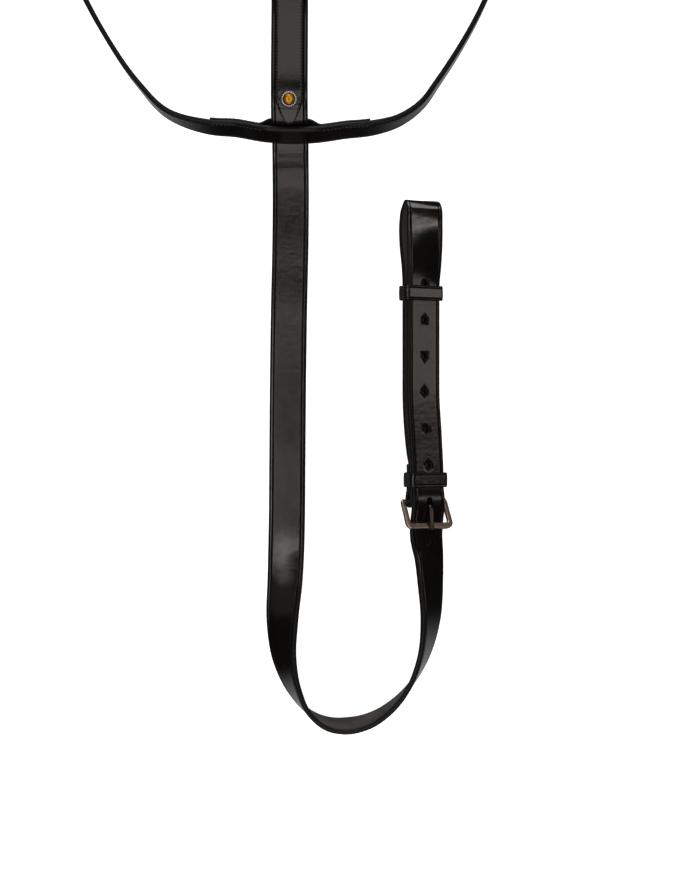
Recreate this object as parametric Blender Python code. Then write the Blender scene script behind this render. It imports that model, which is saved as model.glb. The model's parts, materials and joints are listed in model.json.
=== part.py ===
"""Martingale breastplate in black bridle leather, laid out flat on a table.

A neck strap stands on its edge in an oval. It carries a body strap that runs through a tunnel at the
chest, down to a U turn, back up through a buckle and on to the loop for the girth. Above the chest the
body strap divides into two branches, each with a ring for a rein. Sizes are in millimetres.
"""

import math
from collections import namedtuple

import bmesh
import bpy
from mathutils import Matrix, Vector
from mathutils.geometry import interpolate_bezier

MM = 0.001

# Leather
STRAP_WIDTH = 25.4
STRAP_THICK = 3.8
NECK_WIDTH = 16.0
NECK_THICK = 3.5
EDGE_CHAMFER = 0.7
LINING_WIDTH = 13.4
LINING_THICK = 2.0
LINING_REACH = 57.0
TAB_WIDTH = 19.4
TAB_THICK = 1.8
TAB_POINT = 15.0
TAB_OVER = 7.0
FORK_SLIT = 0.6
LAP_LENGTH = 24.0
LAP_TIP = 1.0
HOLE_DIAMETER = 4.5
FIRST_HOLE = 2.4
HOLE_PITCH = 25.3
HOLE_STRETCH = 1.2
TONGUE_HOLE_S = 1.75
NECK_HOLE_DIAMETER = 3.6
NECK_HOLE_PITCH = 19.0

# Clearances
FIT = 0.35
SEAM = 0.3
LAYER_GAP = 0.8
TUNNEL_FIT = 0.9
TUNNEL_EASE = 7.5
TUNNEL_SIDE = 0.9

# Crossing of the neck strap and the body strap
CHEST_X = -41.6
CROSSING_RAMP = 4.0
CROSSING_REACH = 14.0
CHEST_BEND = 20.0
FRONT_BULGE = 3.2
FRONT_EASE = 30.0
CHEST_LEVEL = 7.0
CHEST_FALL = 0.19
CHEST_LENGTH = 134.0
TIP_FROM_STUD = 15.6

# Stud
STUD_RADIUS = 6.2
STUD_HEIGHT = 2.0
STUD_POST = 1.4
STUD_DOME = 3.7
STUD_DOME_RISE = 1.2
WASHER_RADIUS = 3.8
WASHER_THICK = 1.0
WASHER_GAP = 0.55

# Rein rings and the branches that hold them
RING_WIRE = 2.0
RING_INNER = 13.0
RING_PLAY = 0.5
FORK_SPREAD = 60.0
FORK_REACH = 566.0
RING_TO_NECK = 97.0

# Keepers
KEEPER_THICK = 1.6
KEEPER_WIDTH = 10.3
KEEPER_ROUND = 2.4
KEEPER_PLAY = 0.4
NECK_KEEPER_THICK = 1.5
NECK_KEEPER_WIDTH = 8.0

# Girth end: where the buckle bar lies, how far the straps are rolled, and the loop
GIRTH_ORIGIN = (52.4, -46.4, 13.8)
GIRTH_ROLL = 28.0
GIRTH_STRAIGHT = (-150.0, -76.0)
GIRTH_SHIFT = 3.4
GIRTH_BACK_SHIFT = 0.7
GIRTH_IN_LINE = -22.0
GIRTH_DRIFT = 40.0
GIRTH_RUNNER_AT = -144.0
LOOP_LENGTH = 56.4
LOOP_FRONT_RISE = 4.0
LOOP_BACK_RISE = 6.1
LOOP_LEAN = 20.0
LOOP_ASIDE = 1.4

# Neck buckle
NECK_ORIGIN = (-205.0, 395.0, 12.6)
NECK_BILLET = 96.0
NECK_POINT = 9.0
NECK_RUNNER_AT = -55.0
NECK_SHOULDER = 510.0

# Round shapes and bends
TURN_STEP = math.radians(9)
TWIST_WEIGHT = 3.0
LONGEST_STEP = 42.0
SHARP_ANGLE = math.radians(35)
ROUND_STEPS = 20

UP = Vector((0, 0, 1))

Stop = namedtuple("Stop", "place across thick")


def lerp(a, b, f):
    return a + (b - a) * f


def smooth(f):
    f = min(max(f, 0.0), 1.0)
    return f * f * (3 - 2 * f)


# Routes and benches


class Route:
    """A smooth line through stops. It places a point by its distance along, across and above a strap."""

    FINE = 24

    def __init__(self, stops):
        places = [Vector(stop.place) for stop in stops]
        tangents = [self.direction_at(places, i) for i in range(len(places))]
        self.points, acrosses, self.thicks = [], [], []
        for i in range(len(stops) - 1):
            a, b = places[i], places[i + 1]
            third = (b - a).length / 3
            bend = interpolate_bezier(a, a + tangents[i] * third, b - tangents[i + 1] * third, b, self.FINE + 1)
            last = i == len(stops) - 2
            for k in range(self.FINE + 1 if last else self.FINE):
                f = k / self.FINE
                self.points.append(bend[k])
                acrosses.append(Vector(stops[i].across).lerp(Vector(stops[i + 1].across), f))
                self.thicks.append(lerp(stops[i].thick, stops[i + 1].thick, f))
        self.lengths = [0.0]
        for a, b in zip(self.points, self.points[1:]):
            self.lengths.append(self.lengths[-1] + (b - a).length)
        self.marks = [self.lengths[min(i * self.FINE, len(self.lengths) - 1)] for i in range(len(stops))]
        self.end = self.lengths[-1]
        self.frames = [self.frame_at(i, acrosses[i]) for i in range(len(self.points))]

    @staticmethod
    def direction_at(places, i):
        if i == 0:
            return (places[1] - places[0]).normalized()
        if i == len(places) - 1:
            return (places[-1] - places[-2]).normalized()
        before, after = places[i] - places[i - 1], places[i + 1] - places[i]
        return (before.normalized() * after.length + after.normalized() * before.length).normalized()

    def frame_at(self, i, across):
        ahead = self.points[min(i + 1, len(self.points) - 1)]
        behind = self.points[max(i - 1, 0)]
        along = (ahead - behind).normalized()
        side = (across - along * across.dot(along)).normalized()
        return along, side, along.cross(side)

    def find(self, s):
        low, high = 0, len(self.lengths) - 2
        while low < high:
            middle = (low + high + 1) // 2
            if self.lengths[middle] <= s:
                low = middle
            else:
                high = middle - 1
        return low, (s - self.lengths[low]) / (self.lengths[low + 1] - self.lengths[low])

    def axes(self, s):
        i, f = self.find(s)
        f = min(max(f, 0.0), 1.0)
        return [a.lerp(b, f).normalized() for a, b in zip(self.frames[i], self.frames[i + 1])]

    def place(self, s, across=0.0, above=0.0):
        i, f = self.find(s)
        along, side, out = self.axes(s)
        return lerp(self.points[i], self.points[i + 1], f) + side * across + out * above

    def thick(self, s):
        i, f = self.find(s)
        return lerp(self.thicks[i], self.thicks[i + 1], min(max(f, 0.0), 1.0))

    def stations(self, start, end):
        """Distances at which every layer on this route is cut across, so that it can bend and twist there."""
        found, last = [], self.frames[0]
        mark = 0.0
        for i, s in enumerate(self.lengths):
            along, side, out = self.frames[i]
            twisted = min(side.angle(last[1]), out.angle(last[2]))
            turned = max(along.angle(last[0]), TWIST_WEIGHT * twisted)
            if turned > TURN_STEP or s - mark > LONGEST_STEP or i % self.FINE == 0:
                found.append(s)
                last, mark = self.frames[i], s
        return [s for s in found if start < s < end]


class Bench:
    """A local frame at a buckle: s runs toward the buckle's far bar, n out of the face, w to one side."""

    def __init__(self, origin, along, out):
        self.origin = Vector(origin)
        self.along = Vector(along).normalized()
        self.out = Vector(out).normalized()
        self.side = self.along.cross(self.out)

    def at(self, s, n, w=0.0):
        return self.origin + self.along * s + self.out * n + self.side * w

    def turned(self, s, n, pitch=0.0):
        """Matrix of a piece at (s, n): x to the side, y along, z out, pitched up about the side axis."""
        along = self.along * math.cos(pitch) + self.out * math.sin(pitch)
        out = self.out * math.cos(pitch) - self.along * math.sin(pitch)
        turn = Matrix((self.side, along, out)).transposed().to_4x4()
        return Matrix.Translation(self.at(s, n)) @ turn


class Fold:
    """The end of a strap, thinned to a ply, turned round a bar and sewn back under itself."""

    SKIVE = 8.0

    def __init__(self, back, thick, ply, bore, turned_length):
        self.thick, self.ply, self.bore = thick, ply, bore
        self.back = back
        self.upper = back + thick / 2 - ply / 2
        self.lower = self.upper - ply - SEAM
        self.bar_n = (self.upper + self.lower) / 2
        self.radius = bore + ply / 2
        self.top = self.bar_n + self.radius + ply / 2
        self.bottom = self.bar_n - self.radius - ply / 2
        self.turned_length = turned_length
        self.part_at = -3.2 * self.radius

    def line(self):
        """Points (s, n, thickness) from the full strap round the bar to the turned end."""
        points = [
            (-self.turned_length - self.SKIVE - 4, self.back, self.thick),
            (-self.turned_length - self.SKIVE, self.back, self.thick),
            (-self.turned_length, self.upper, self.ply),
            (self.part_at, self.upper, self.ply),
        ]
        for degrees in (100, 60, 20, -20, -60, -100):
            angle = math.radians(degrees)
            s, n = self.radius * math.cos(angle), self.bar_n + self.radius * math.sin(angle)
            points.append((s, n, self.ply))
        points.append((self.part_at, self.lower, self.ply))
        points.append((-self.turned_length, self.lower, self.ply))
        return points


class Buckle:
    """Sizes of a buckled end: billet over the folded chape, frame, tongue and keepers."""

    def __init__(self, bench, width, thick, ply, bar, rail, side_rail, plate, reach, pitch, tongue, turned_length):
        self.bench, self.width, self.thick = bench, width, thick
        self.bar, self.rail, self.side_rail, self.plate = bar, rail, side_rail, plate
        self.reach, self.pitch = reach, math.radians(pitch)
        self.tongue_width, self.tongue_thick = tongue
        self.front = (thick + LAYER_GAP) / 2
        self.fold = Fold(-self.front, thick, ply, bar + SEAM, turned_length)
        self.bar_n = self.fold.bar_n
        self.over = self.fold.top + FIT + thick / 2
        self.far_s = reach * math.cos(self.pitch)
        self.far_n = self.bar_n + reach * math.sin(self.pitch)
        drop = plate / 2 * math.cos(self.pitch) + rail / 2 * math.sin(self.pitch)
        self.under = self.far_n - drop - FIT - thick / 2
        self.window = width / 2 + 2 * self.side_gap()
        self.pivot = bench.at(0, self.bar_n)

    def side_gap(self):
        return self.width * 0.0275 + FIT

    def billet(self):
        """Points (s, n) of the billet, from the layered straps over the fold and under the far bar."""
        return [
            (self.fold.part_at - 3.0, self.front),
            (self.fold.part_at - 0.6, self.front),
            (-0.7 * self.fold.radius, self.over),
            (1.1 * self.fold.radius, self.over - 0.15),
            (self.far_s - 0.3 * self.rail, self.under),
            (self.far_s + 1.1 * self.rail, self.under - 0.5),
        ]


# Meshes


def strap(route, start, end, width, thick, shape=None, cuts=()):
    """A flat blank, cut across at its stations, then laid along the route. The shape may thin or narrow it."""
    bm = bmesh.new()
    bmesh.ops.create_cube(bm, size=1.0)
    bmesh.ops.scale(bm, vec=(end - start, width, thick), verts=bm.verts)
    bmesh.ops.translate(bm, vec=((start + end) / 2, 0, 0), verts=bm.verts)
    long_edges = [e for e in bm.edges if abs(e.verts[0].co.x - e.verts[1].co.x) > (end - start) / 2]
    chamfer = min(EDGE_CHAMFER, thick / 4)
    bmesh.ops.bevel(bm, geom=long_edges, offset=chamfer, segments=1, profile=0.5, affect="EDGES", material=-1)
    planes = [((0, 0, 0), (0, 1, 0))]
    for s in sorted(set(route.stations(start, end)) | {cut for cut in cuts if start < cut < end}):
        planes.append(((s, 0, 0), (1, 0, 0)))
    for place, normal in planes:
        everything = bm.verts[:] + bm.edges[:] + bm.faces[:]
        bmesh.ops.bisect_plane(bm, geom=everything, plane_co=place, plane_no=normal, dist=0.0001)
    for vertex in bm.verts:
        s, across, above = vertex.co
        above *= route.thick(s) / STOCK[thick] if thick in STOCK else 1.0
        if shape:
            across, above = shape(s, across, above)
        vertex.co = route.place(s, across, above)
    return bm


def outline_prism(points, depth, bevel=0.0):
    """A flat outline in x and y, made a solid of the given depth centred on z = 0."""
    bm = bmesh.new()
    face = bm.faces.new([bm.verts.new((x, y, -depth / 2)) for x, y in points])
    grown = bmesh.ops.extrude_face_region(bm, geom=[face])["geom"]
    bmesh.ops.translate(bm, vec=(0, 0, depth), verts=[v for v in grown if isinstance(v, bmesh.types.BMVert)])
    bmesh.ops.recalc_face_normals(bm, faces=bm.faces)
    if bevel:
        rims = [e for e in bm.edges if abs(e.verts[0].co.z - e.verts[1].co.z) < depth / 2]
        bmesh.ops.bevel(bm, geom=rims, offset=bevel, segments=1, profile=0.5, affect="EDGES", material=-1)
    return bm


def arc(centre, radius, first, last, steps):
    """Points on an arc from the first to the last angle, in degrees."""
    angles = [math.radians(lerp(first, last, k / steps)) for k in range(steps + 1)]
    return [(centre[0] + radius * math.cos(a), centre[1] + radius * math.sin(a)) for a in angles]


def rounded_rectangle(width, height, radius, steps=3):
    x, y = width / 2 - radius, height / 2 - radius
    points = arc((x, y), radius, 0, 90, steps) + arc((-x, y), radius, 90, 180, steps)
    return points + arc((-x, -y), radius, 180, 270, steps) + arc((x, -y), radius, 270, 360, steps)


def band(width, height, wall, length):
    """A closed band: the space inside is width by height in x and z, and its length runs along y."""
    bm = bmesh.new()
    rings = []
    for y in (-length / 2, length / 2):
        for grow in (wall, 0.0):
            corner = KEEPER_ROUND if grow else KEEPER_ROUND - wall * 0.7
            outline = rounded_rectangle(width + 2 * grow, height + 2 * grow, corner)
            verts = [bm.verts.new((x, y, z)) for x, z in outline]
            rings.append([bm.edges.new((a, b)) for a, b in zip(verts, verts[1:] + verts[:1])])
    for a, b in ((0, 1), (2, 3), (0, 2), (1, 3)):
        bmesh.ops.bridge_loops(bm, edges=rings[a] + rings[b])
    return bm


def turned_profile(profile, steps):
    """A solid of revolution about z. The profile runs from the axis to the axis."""
    bm = bmesh.new()
    verts = [bm.verts.new((r, 0, z)) for r, z in profile]
    edges = [bm.edges.new(pair) for pair in zip(verts, verts[1:])]
    bmesh.ops.spin(
        bm, geom=verts + edges, cent=(0, 0, 0), axis=(0, 0, 1), angle=math.tau, steps=steps, use_merge=True
    )
    bmesh.ops.remove_doubles(bm, verts=bm.verts, dist=0.001)
    return bm


def torus(radius, wire, steps, wire_steps):
    """A ring of round wire about z."""
    bm = bmesh.new()
    section = bmesh.ops.create_circle(bm, segments=wire_steps, radius=wire)["verts"]
    bmesh.ops.rotate(bm, verts=section, cent=(0, 0, 0), matrix=Matrix.Rotation(math.pi / 2, 3, "X"))
    bmesh.ops.translate(bm, verts=section, vec=(radius, 0, 0))
    bmesh.ops.spin(
        bm, geom=bm.verts[:] + bm.edges[:], cent=(0, 0, 0), axis=(0, 0, 1), angle=math.tau, steps=steps, use_merge=True
    )
    bmesh.ops.remove_doubles(bm, verts=bm.verts, dist=0.001)
    return bm


def rod(radius, length, steps=ROUND_STEPS):
    """A cylinder along x."""
    bm = bmesh.new()
    bmesh.ops.create_cone(
        bm, cap_ends=True, segments=steps, radius1=radius, radius2=radius, depth=length,
        matrix=Matrix.Rotation(math.pi / 2, 4, "Y"),
    )
    return bm


# Objects and materials


def srgb(value):
    return value / 12.92 if value <= 0.04045 else ((value + 0.055) / 1.055) ** 2.4


def finish(name, colour, roughness, metallic=0.0):
    material = bpy.data.materials.new(name)
    material.use_nodes = True
    shader = material.node_tree.nodes["Principled BSDF"]
    channels = [srgb(int(colour[i : i + 2], 16) / 255) for i in (0, 2, 4)]
    shader.inputs["Base Color"].default_value = (*channels, 1.0)
    shader.inputs["Roughness"].default_value = roughness
    shader.inputs["Metallic"].default_value = metallic
    return material


def add(name, bm, material=None, pivot=(0, 0, 0), parent=None):
    """An object from a mesh in millimetres, with its origin on the pivot."""
    pivot = Vector(pivot)
    bm.normal_update()
    bmesh.ops.recalc_face_normals(bm, faces=bm.faces)
    if bm.calc_volume(signed=True) < 0:
        bmesh.ops.reverse_faces(bm, faces=bm.faces)
    bm.transform(Matrix.Scale(MM, 4) @ Matrix.Translation(-pivot))
    mesh = bpy.data.meshes.new(name)
    bm.to_mesh(mesh)
    bm.free()
    if material:
        mesh.materials.append(material)
        mesh.shade_smooth()
        mesh.set_sharp_from_angle(angle=SHARP_ANGLE)
    piece = bpy.data.objects.new(name, mesh)
    bpy.context.scene.collection.objects.link(piece)
    piece.location = pivot * MM
    if parent:
        piece.parent = parent
        piece.location = pivot * MM - parent.location
    return piece


def change(piece, bm, operation="DIFFERENCE"):
    """Cuts a shape out of a piece, or joins it on."""
    tool = add(piece.name + "_tool", bm)
    tool.hide_render = True
    tool.display_type = "WIRE"
    tool.parent = piece
    tool.location = -piece.location
    if piece.parent:
        tool.location -= piece.parent.location
    modifier = piece.modifiers.new("cut" if operation == "DIFFERENCE" else "join", "BOOLEAN")
    modifier.operation = operation
    modifier.object = tool


# Places shared by several pieces


def edge_height(roll, width, thick):
    """Height of a strap's middle when it rests on one edge, rolled by so many degrees from flat."""
    angle = math.radians(roll)
    return width / 2 * math.sin(angle) + thick / 2 * abs(math.cos(angle))


def table_stops(places, width, thick):
    """Stops from (x, y, roll, lift): the strap rests on its outer edge, the inner edge rolled up."""
    stops = []
    for i, (x, y, roll, lift) in enumerate(places):
        before, after = places[max(i - 1, 0)], places[min(i + 1, len(places) - 1)]
        along = Vector((after[0] - before[0], after[1] - before[1], 0)).normalized()
        inner = UP.cross(along)
        angle = math.radians(roll)
        across = inner * math.cos(angle) + UP * math.sin(angle)
        stops.append(Stop((x, y, edge_height(roll, width, thick) + lift), across, thick))
    return stops


def make_benches():
    roll = math.radians(GIRTH_ROLL)
    girth = Bench(GIRTH_ORIGIN, (0, -1, 0), (math.sin(roll), 0, math.cos(roll)))
    neck = Bench(NECK_ORIGIN, (0, -1, 0), (-1, 0, 0))
    return girth, neck


def make_neck_route(buckle):
    """From the billet's point, through the buckle, round the oval and back to the folded end."""
    bench = buckle.bench

    def on_bench(s, n, thick=NECK_THICK):
        return Stop(bench.at(s, n), -bench.side, thick)

    stops = [on_bench(-NECK_BILLET, buckle.front), on_bench(-NECK_BILLET / 2, buckle.front)]
    stops += [on_bench(s, n) for s, n in buckle.billet()]
    free = [
        (-203.6, 352.0, 90, 3.6),
        (-192.0, 320.0, 90, 1.8),
        (-171.0, 279.0, 90, 0.4),
        (-147.1, 243.8, 88, 0.0),
        (-128.0, 224.0, 82, 0.0),
        (-98.8, 213.9, 65, 0.7),
        (-76.5, 212.3, 59, 2.2),
        (CHEST_X - CROSSING_REACH, 210.3, 59, 6.6),
        (CHEST_X, 209.4, 59, 6.7),
        (CHEST_X + CROSSING_REACH, 209.8, 59, 6.6),
        (-6.9, 210.9, 61, 2.4),
        (16.7, 213.3, 65, 0.7),
        (33.4, 218.1, 74, 0.2),
        (50.1, 229.9, 82, 0.0),
        (60.2, 243.8, 85, 0.0),
        (93.0, 300.0, 90, 0.0),
        (112.0, 355.0, 90, 0.0),
        (118.0, 430.0, 90, 0.0),
        (110.0, NECK_SHOULDER, 90, 0.0),
    ]
    arch = FORK_REACH + RING_TO_NECK - NECK_SHOULDER
    crown = (
        (80.0, 0.49, 0.0),
        (27.0, 0.85, 0.0),
        (-44.0, 1.0, 0.0),
        (-115.0, 0.85, 0.0),
        (-168.0, 0.49, 1.0),
        (-195.0, 0.144, 3.4),
    )
    free += [(x, NECK_SHOULDER + arch * share, 90, lift) for x, share, lift in crown]
    crossing = len(stops) + [place[0] for place in free].index(CHEST_X)
    stops += table_stops(free, NECK_WIDTH, NECK_THICK)
    stops += [on_bench(-NECK_BILLET - 8, -buckle.front), on_bench(-NECK_BILLET, -buckle.front)]
    stops += [on_bench(s, n, thick) for s, n, thick in buckle.fold.line()]
    route = Route(stops)
    return route, route.marks[crossing]


def make_body_route(neck_route, crossing_at, buckle):
    """From the chest, through the tunnel, down the leg, round the U, up through the buckle and back."""
    centre = neck_route.place(crossing_at, 0, FRONT_BULGE - NECK_THICK / 2 - TUNNEL_FIT - STRAP_THICK / 2)
    slope_way = neck_route.axes(crossing_at)[1]
    slope = math.atan2(slope_way.z, slope_way.y)
    flat = Vector((1, 0, 0))

    def on_chest(y, z):
        return Stop((CHEST_X, y, z), flat, STRAP_THICK)

    ramp_y, ramp_z = CROSSING_RAMP * math.cos(slope), CROSSING_RAMP * math.sin(slope)
    leg_bend = (centre.z - ramp_z - STRAP_THICK / 2) / (1 - math.cos(slope))
    top_y = centre.y + ramp_y + CHEST_BEND * math.sin(slope)
    top_z = centre.z + ramp_z + CHEST_BEND * (1 - math.cos(slope))
    fall_y = top_y + CHEST_LEVEL + 24
    fall_z = top_z - 2.6
    far_y = centre.y + CHEST_LENGTH
    stops = [
        on_chest(far_y, fall_z - (far_y - fall_y) * CHEST_FALL),
        on_chest(far_y - 4, fall_z - (far_y - 4 - fall_y) * CHEST_FALL),
        on_chest(fall_y + 4, fall_z - 4 * CHEST_FALL),
        on_chest(fall_y, fall_z),
        on_chest(top_y + CHEST_LEVEL, top_z),
    ]
    for share in (0.0, 0.25, 0.5, 0.75, 1.0):
        lean = slope * share
        y = centre.y + ramp_y + CHEST_BEND * (math.sin(slope) - math.sin(lean))
        z = centre.z + ramp_z + CHEST_BEND * (math.cos(lean) - math.cos(slope))
        stops.append(on_chest(y, z))
    stops.append(on_chest(centre.y, centre.z))
    for share in (1.0, 0.75, 0.5, 0.25, 0.0):
        lean = slope * share
        y = centre.y - ramp_y - leg_bend * (math.sin(slope) - math.sin(lean))
        z = centre.z - ramp_z - leg_bend * (math.cos(lean) - math.cos(slope))
        stops.append(on_chest(y, z))
    leg = [
        (-41.4, 170.0, 0, 0.0),
        (-41.7, 130.0, 0, 0.0),
        (-42.5, 94.0, 0, 0.0),
        (-43.3, 40.0, 0, 0.0),
        (-43.8, -20.0, 0, 0.0),
        (-44.1, -58.0, 0, 0.0),
        (-44.5, -78.0, 4, 0.0),
        (-45.3, -101.4, 15, 0.0),
        (-47.1, -129.0, 31, 0.0),
        (-45.4, -156.5, 52, 0.0),
        (-38.3, -178.1, 70, 0.0),
        (-29.6, -191.6, 84, 0.0),
        (-15.0, -200.7, 99, 0.0),
        (-1.0, -201.9, 104, 0.0),
        (14.2, -198.1, 101, 0.0),
        (27.7, -189.6, 95, 0.0),
        (39.6, -176.9, 87, 0.0),
        (50.3, -156.2, 75, 0.0),
        (55.9, -128.9, 60, 0.0),
        (55.8, -100.9, 47, 0.2),
        (54.8, -84.0, 40, 1.8),
    ]
    stops += table_stops(leg, STRAP_WIDTH, STRAP_THICK)
    bench = buckle.bench

    def on_bench(s, n, w=0.0, thick=STRAP_THICK):
        return Stop(bench.at(s, n, w), bench.side, thick)

    stops += [on_bench(s, n) for s, n in reversed(buckle.billet())]
    over_bar = len(stops) - 4
    first, last = GIRTH_STRAIGHT
    shift, front = GIRTH_SHIFT, buckle.front
    stops.append(on_bench(last * 0.6, front, shift * 0.45))
    stops += [on_bench(s, front, shift) for s in (last, last - 4, first + 4, first)]
    stops += girth_loop(buckle, shift)
    back_shift = shift + GIRTH_BACK_SHIFT
    stops += [on_bench(s, -front, back_shift) for s in (first, first + 4, last - 4, last)]
    for s, n, thick in buckle.fold.line():
        stops.append(on_bench(s, n, back_shift * smooth((GIRTH_IN_LINE - s) / GIRTH_DRIFT), thick))
    route = Route(stops)
    tongue_at = route.marks[over_bar] + buckle.billet()[3][0] - TONGUE_HOLE_S
    return route, tongue_at, route.marks[5]


def girth_loop(buckle, shift):
    """Stops of the teardrop that the girth goes through. Its front leans back until it faces up."""
    bench, front = buckle.bench, buckle.front
    rounds = ((0.2, 0.36, 0.3), (0.52, 0.94, 0.8), (0.76, 1.0, 1.0), (0.93, 0.5, 0.85))
    points = [(along, front + LOOP_FRONT_RISE * rise, lean) for along, rise, lean in rounds]
    points.append((1.0, (LOOP_FRONT_RISE - LOOP_BACK_RISE) / 2, 0.5))
    points += [(along, -front - LOOP_BACK_RISE * rise, 0.15 * along * lean) for along, rise, lean in reversed(rounds)]
    stops = []
    for along, n, lean in points:
        turn = math.radians(LOOP_LEAN) * lean
        out = bench.out * math.cos(turn) + bench.side * math.sin(turn)
        side = bench.side * math.cos(turn) - bench.out * math.sin(turn)
        middle = bench.at(GIRTH_STRAIGHT[0] - LOOP_LENGTH * along, 0)
        stops.append(Stop(middle + out * n + side * (shift - LOOP_ASIDE * lean), side, STRAP_THICK))
    return stops


# Pieces


def tunnel_ease(distance):
    """How far the two layers of the tunnel part, from 1 over the body strap to 0 beside it."""
    return 1 - smooth((abs(distance) - STRAP_WIDTH / 2 - TUNNEL_SIDE) / TUNNEL_EASE)


def front_ease(distance):
    """How far both layers bow out together, from 1 over the body strap to 0 well beside it."""
    return 1 - smooth((abs(distance) - CROSSING_REACH) / FRONT_EASE)


def tunnel_cuts(crossing_at):
    half = STRAP_WIDTH / 2 + TUNNEL_SIDE
    steps = [half + TUNNEL_EASE * share for share in (0.0, 0.25, 0.5, 0.75, 1.0)]
    steps += [CROSSING_REACH + FRONT_EASE * share for share in (0.4, 0.6, 0.8, 1.0)]
    return [crossing_at + side * step for side in (-1, 1) for step in steps]


def make_neck_strap(route, crossing_at, buckle, leather):
    def shape(s, across, above):
        above += FRONT_BULGE * front_ease(s - crossing_at)
        if s < NECK_POINT:
            across *= 0.25 + 0.75 * math.sqrt(max(1 - (1 - s / NECK_POINT) ** 2, 0.0))
        return across, above

    cuts = tunnel_cuts(crossing_at) + [NECK_POINT * share for share in (0.1, 0.3, 0.6, 1.0)]
    piece = add("neck_strap", strap(route, 0.0, route.end, NECK_WIDTH, NECK_THICK, shape, cuts), leather)
    buckle_cuts(piece, buckle)
    tongue_hole = NECK_BILLET + 1.0
    for count in (-1, 0, 2, 3):
        s = tongue_hole + (count - 3) * NECK_HOLE_PITCH if count < 3 else tongue_hole + NECK_HOLE_PITCH * 1.6
        change(piece, strap_hole(route, s, NECK_HOLE_DIAMETER, NECK_THICK))
    return piece


def make_crossing_loop(route, crossing_at, leather):
    parted = STRAP_THICK + 2 * TUNNEL_FIT - SEAM
    rest = NECK_THICK / 2 + SEAM + LINING_THICK / 2

    def shape(s, across, above):
        bowed = FRONT_BULGE * front_ease(s - crossing_at) - parted * tunnel_ease(s - crossing_at)
        return across, above - rest + bowed

    start, end = crossing_at - LINING_REACH, crossing_at + LINING_REACH
    blank = strap(route, start, end, LINING_WIDTH, LINING_THICK, shape, tunnel_cuts(crossing_at))
    return add("crossing_loop", blank, leather)


def strap_hole(route, s, diameter, thick):
    """Cutter for a punched hole. It stops between the strap and the layer behind it."""
    along, side, out = route.axes(s)
    below, above = thick / 2 + LAYER_GAP / 2, thick / 2 + 2.0
    bm = rod(diameter / 2, below + above, 16)
    turn = Matrix((out, side, -along)).transposed().to_4x4()
    bm.transform(Matrix.Translation(route.place(s, 0, (above - below) / 2)) @ turn)
    return bm


def buckle_cuts(piece, buckle):
    """Slots for the tongue: one through both plies of the fold, one through the billet over it."""
    fold, bench = buckle.fold, buckle.bench
    width = buckle.tongue_width + 2 * FIT + 0.3
    middle = (fold.top + buckle.over - buckle.thick / 2) / 2
    slots = (
        (-1.9 * fold.radius, 1.7 * fold.radius, fold.bottom - 1.0, middle),
        (-3.2 * fold.radius / 3.1, 4.9 * fold.radius / 3.1, middle - 0.1, buckle.over + buckle.thick),
    )
    for start, end, low, high in slots:
        bm = bmesh.new()
        bmesh.ops.create_cube(bm, size=1.0)
        bmesh.ops.scale(bm, vec=(width, end - start, high - low), verts=bm.verts)
        bm.transform(bench.turned((start + end) / 2, (low + high) / 2))
        change(piece, bm)


def make_body_strap(route, tongue_at, stud_at, buckle, leather):
    start = lap_start()

    def shape(s, across, above):
        joint = lap_height(s)
        if s < start + LAP_LENGTH and above > joint:
            above = joint
        return across, above

    blank = strap(route, start, route.end, STRAP_WIDTH, STRAP_THICK, shape, [start + LAP_LENGTH])
    piece = add("body_strap", blank, leather)
    buckle_cuts(piece, buckle)
    for count in (-1, 1, 2, 3, 4, 5, 6):
        pulled = math.copysign(HOLE_STRETCH, count)
        s = tongue_at + count * HOLE_PITCH + pulled
        change(piece, strap_hole(route, s, HOLE_DIAMETER if count > 0 else FIRST_HOLE, STRAP_THICK))
    change(piece, stud_hole(route, stud_at))
    return piece


def lap_start():
    """Distance along the chest at which the body strap ends under the branches."""
    return 32.0


def lap_height(s):
    """Height of the slanted joint between the body strap and the branches lapped over it."""
    share = (s - lap_start()) / LAP_LENGTH
    return lerp(LAP_TIP - STRAP_THICK / 2, STRAP_THICK / 2, min(max(share, 0.0), 1.0))


def make_fork_strap(name, side, body_route, ring, leather):
    """One branch: lapped over the body strap, then running free to its ring."""
    width = (STRAP_WIDTH - FORK_SLIT) / 2
    offset = side * (width + FORK_SLIT) / 2
    lap_share = (STRAP_THICK - 2 * LAP_TIP - SEAM) / (STRAP_THICK - LAP_TIP)
    first = lap_start() + lap_share * LAP_LENGTH
    across = Vector((-1, 0, 0))

    def on_chest(s):
        return Stop(body_route.place(s, offset), across, STRAP_THICK)

    stops = [on_chest(s) for s in (first, first - 4, 22.0, 12.0)]
    end = body_route.place(0.0, offset)
    free = ((10.0, 12.0, -2.4), (17.0, 40.0, -6.2), (29.0, 80.0, 0.0), (40.0, 120.0, 0.0), (50.0, 160.0, 0.0))
    for spread, reach, fall in free:
        z = max(end.z + fall, STRAP_THICK / 2) if fall else STRAP_THICK / 2
        stops.append(Stop((CHEST_X + side * spread, end.y + reach, z), across, STRAP_THICK))
    bench, fold = ring.bench, ring.fold
    stops += [Stop(bench.at(s, n), -bench.side, thick) for s, n, thick in fold.line()]
    route = Route(stops)

    heel = first - lap_start() + SEAM

    def shape(s, w, above):
        floor = lap_height(first - s) + SEAM
        if s < heel + SEAM / 2 and above < floor:
            above = floor
        return w, above

    blank = strap(route, 0.0, route.end, width, STRAP_THICK, shape, [heel, heel + SEAM])
    return add(name, blank, leather)


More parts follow.
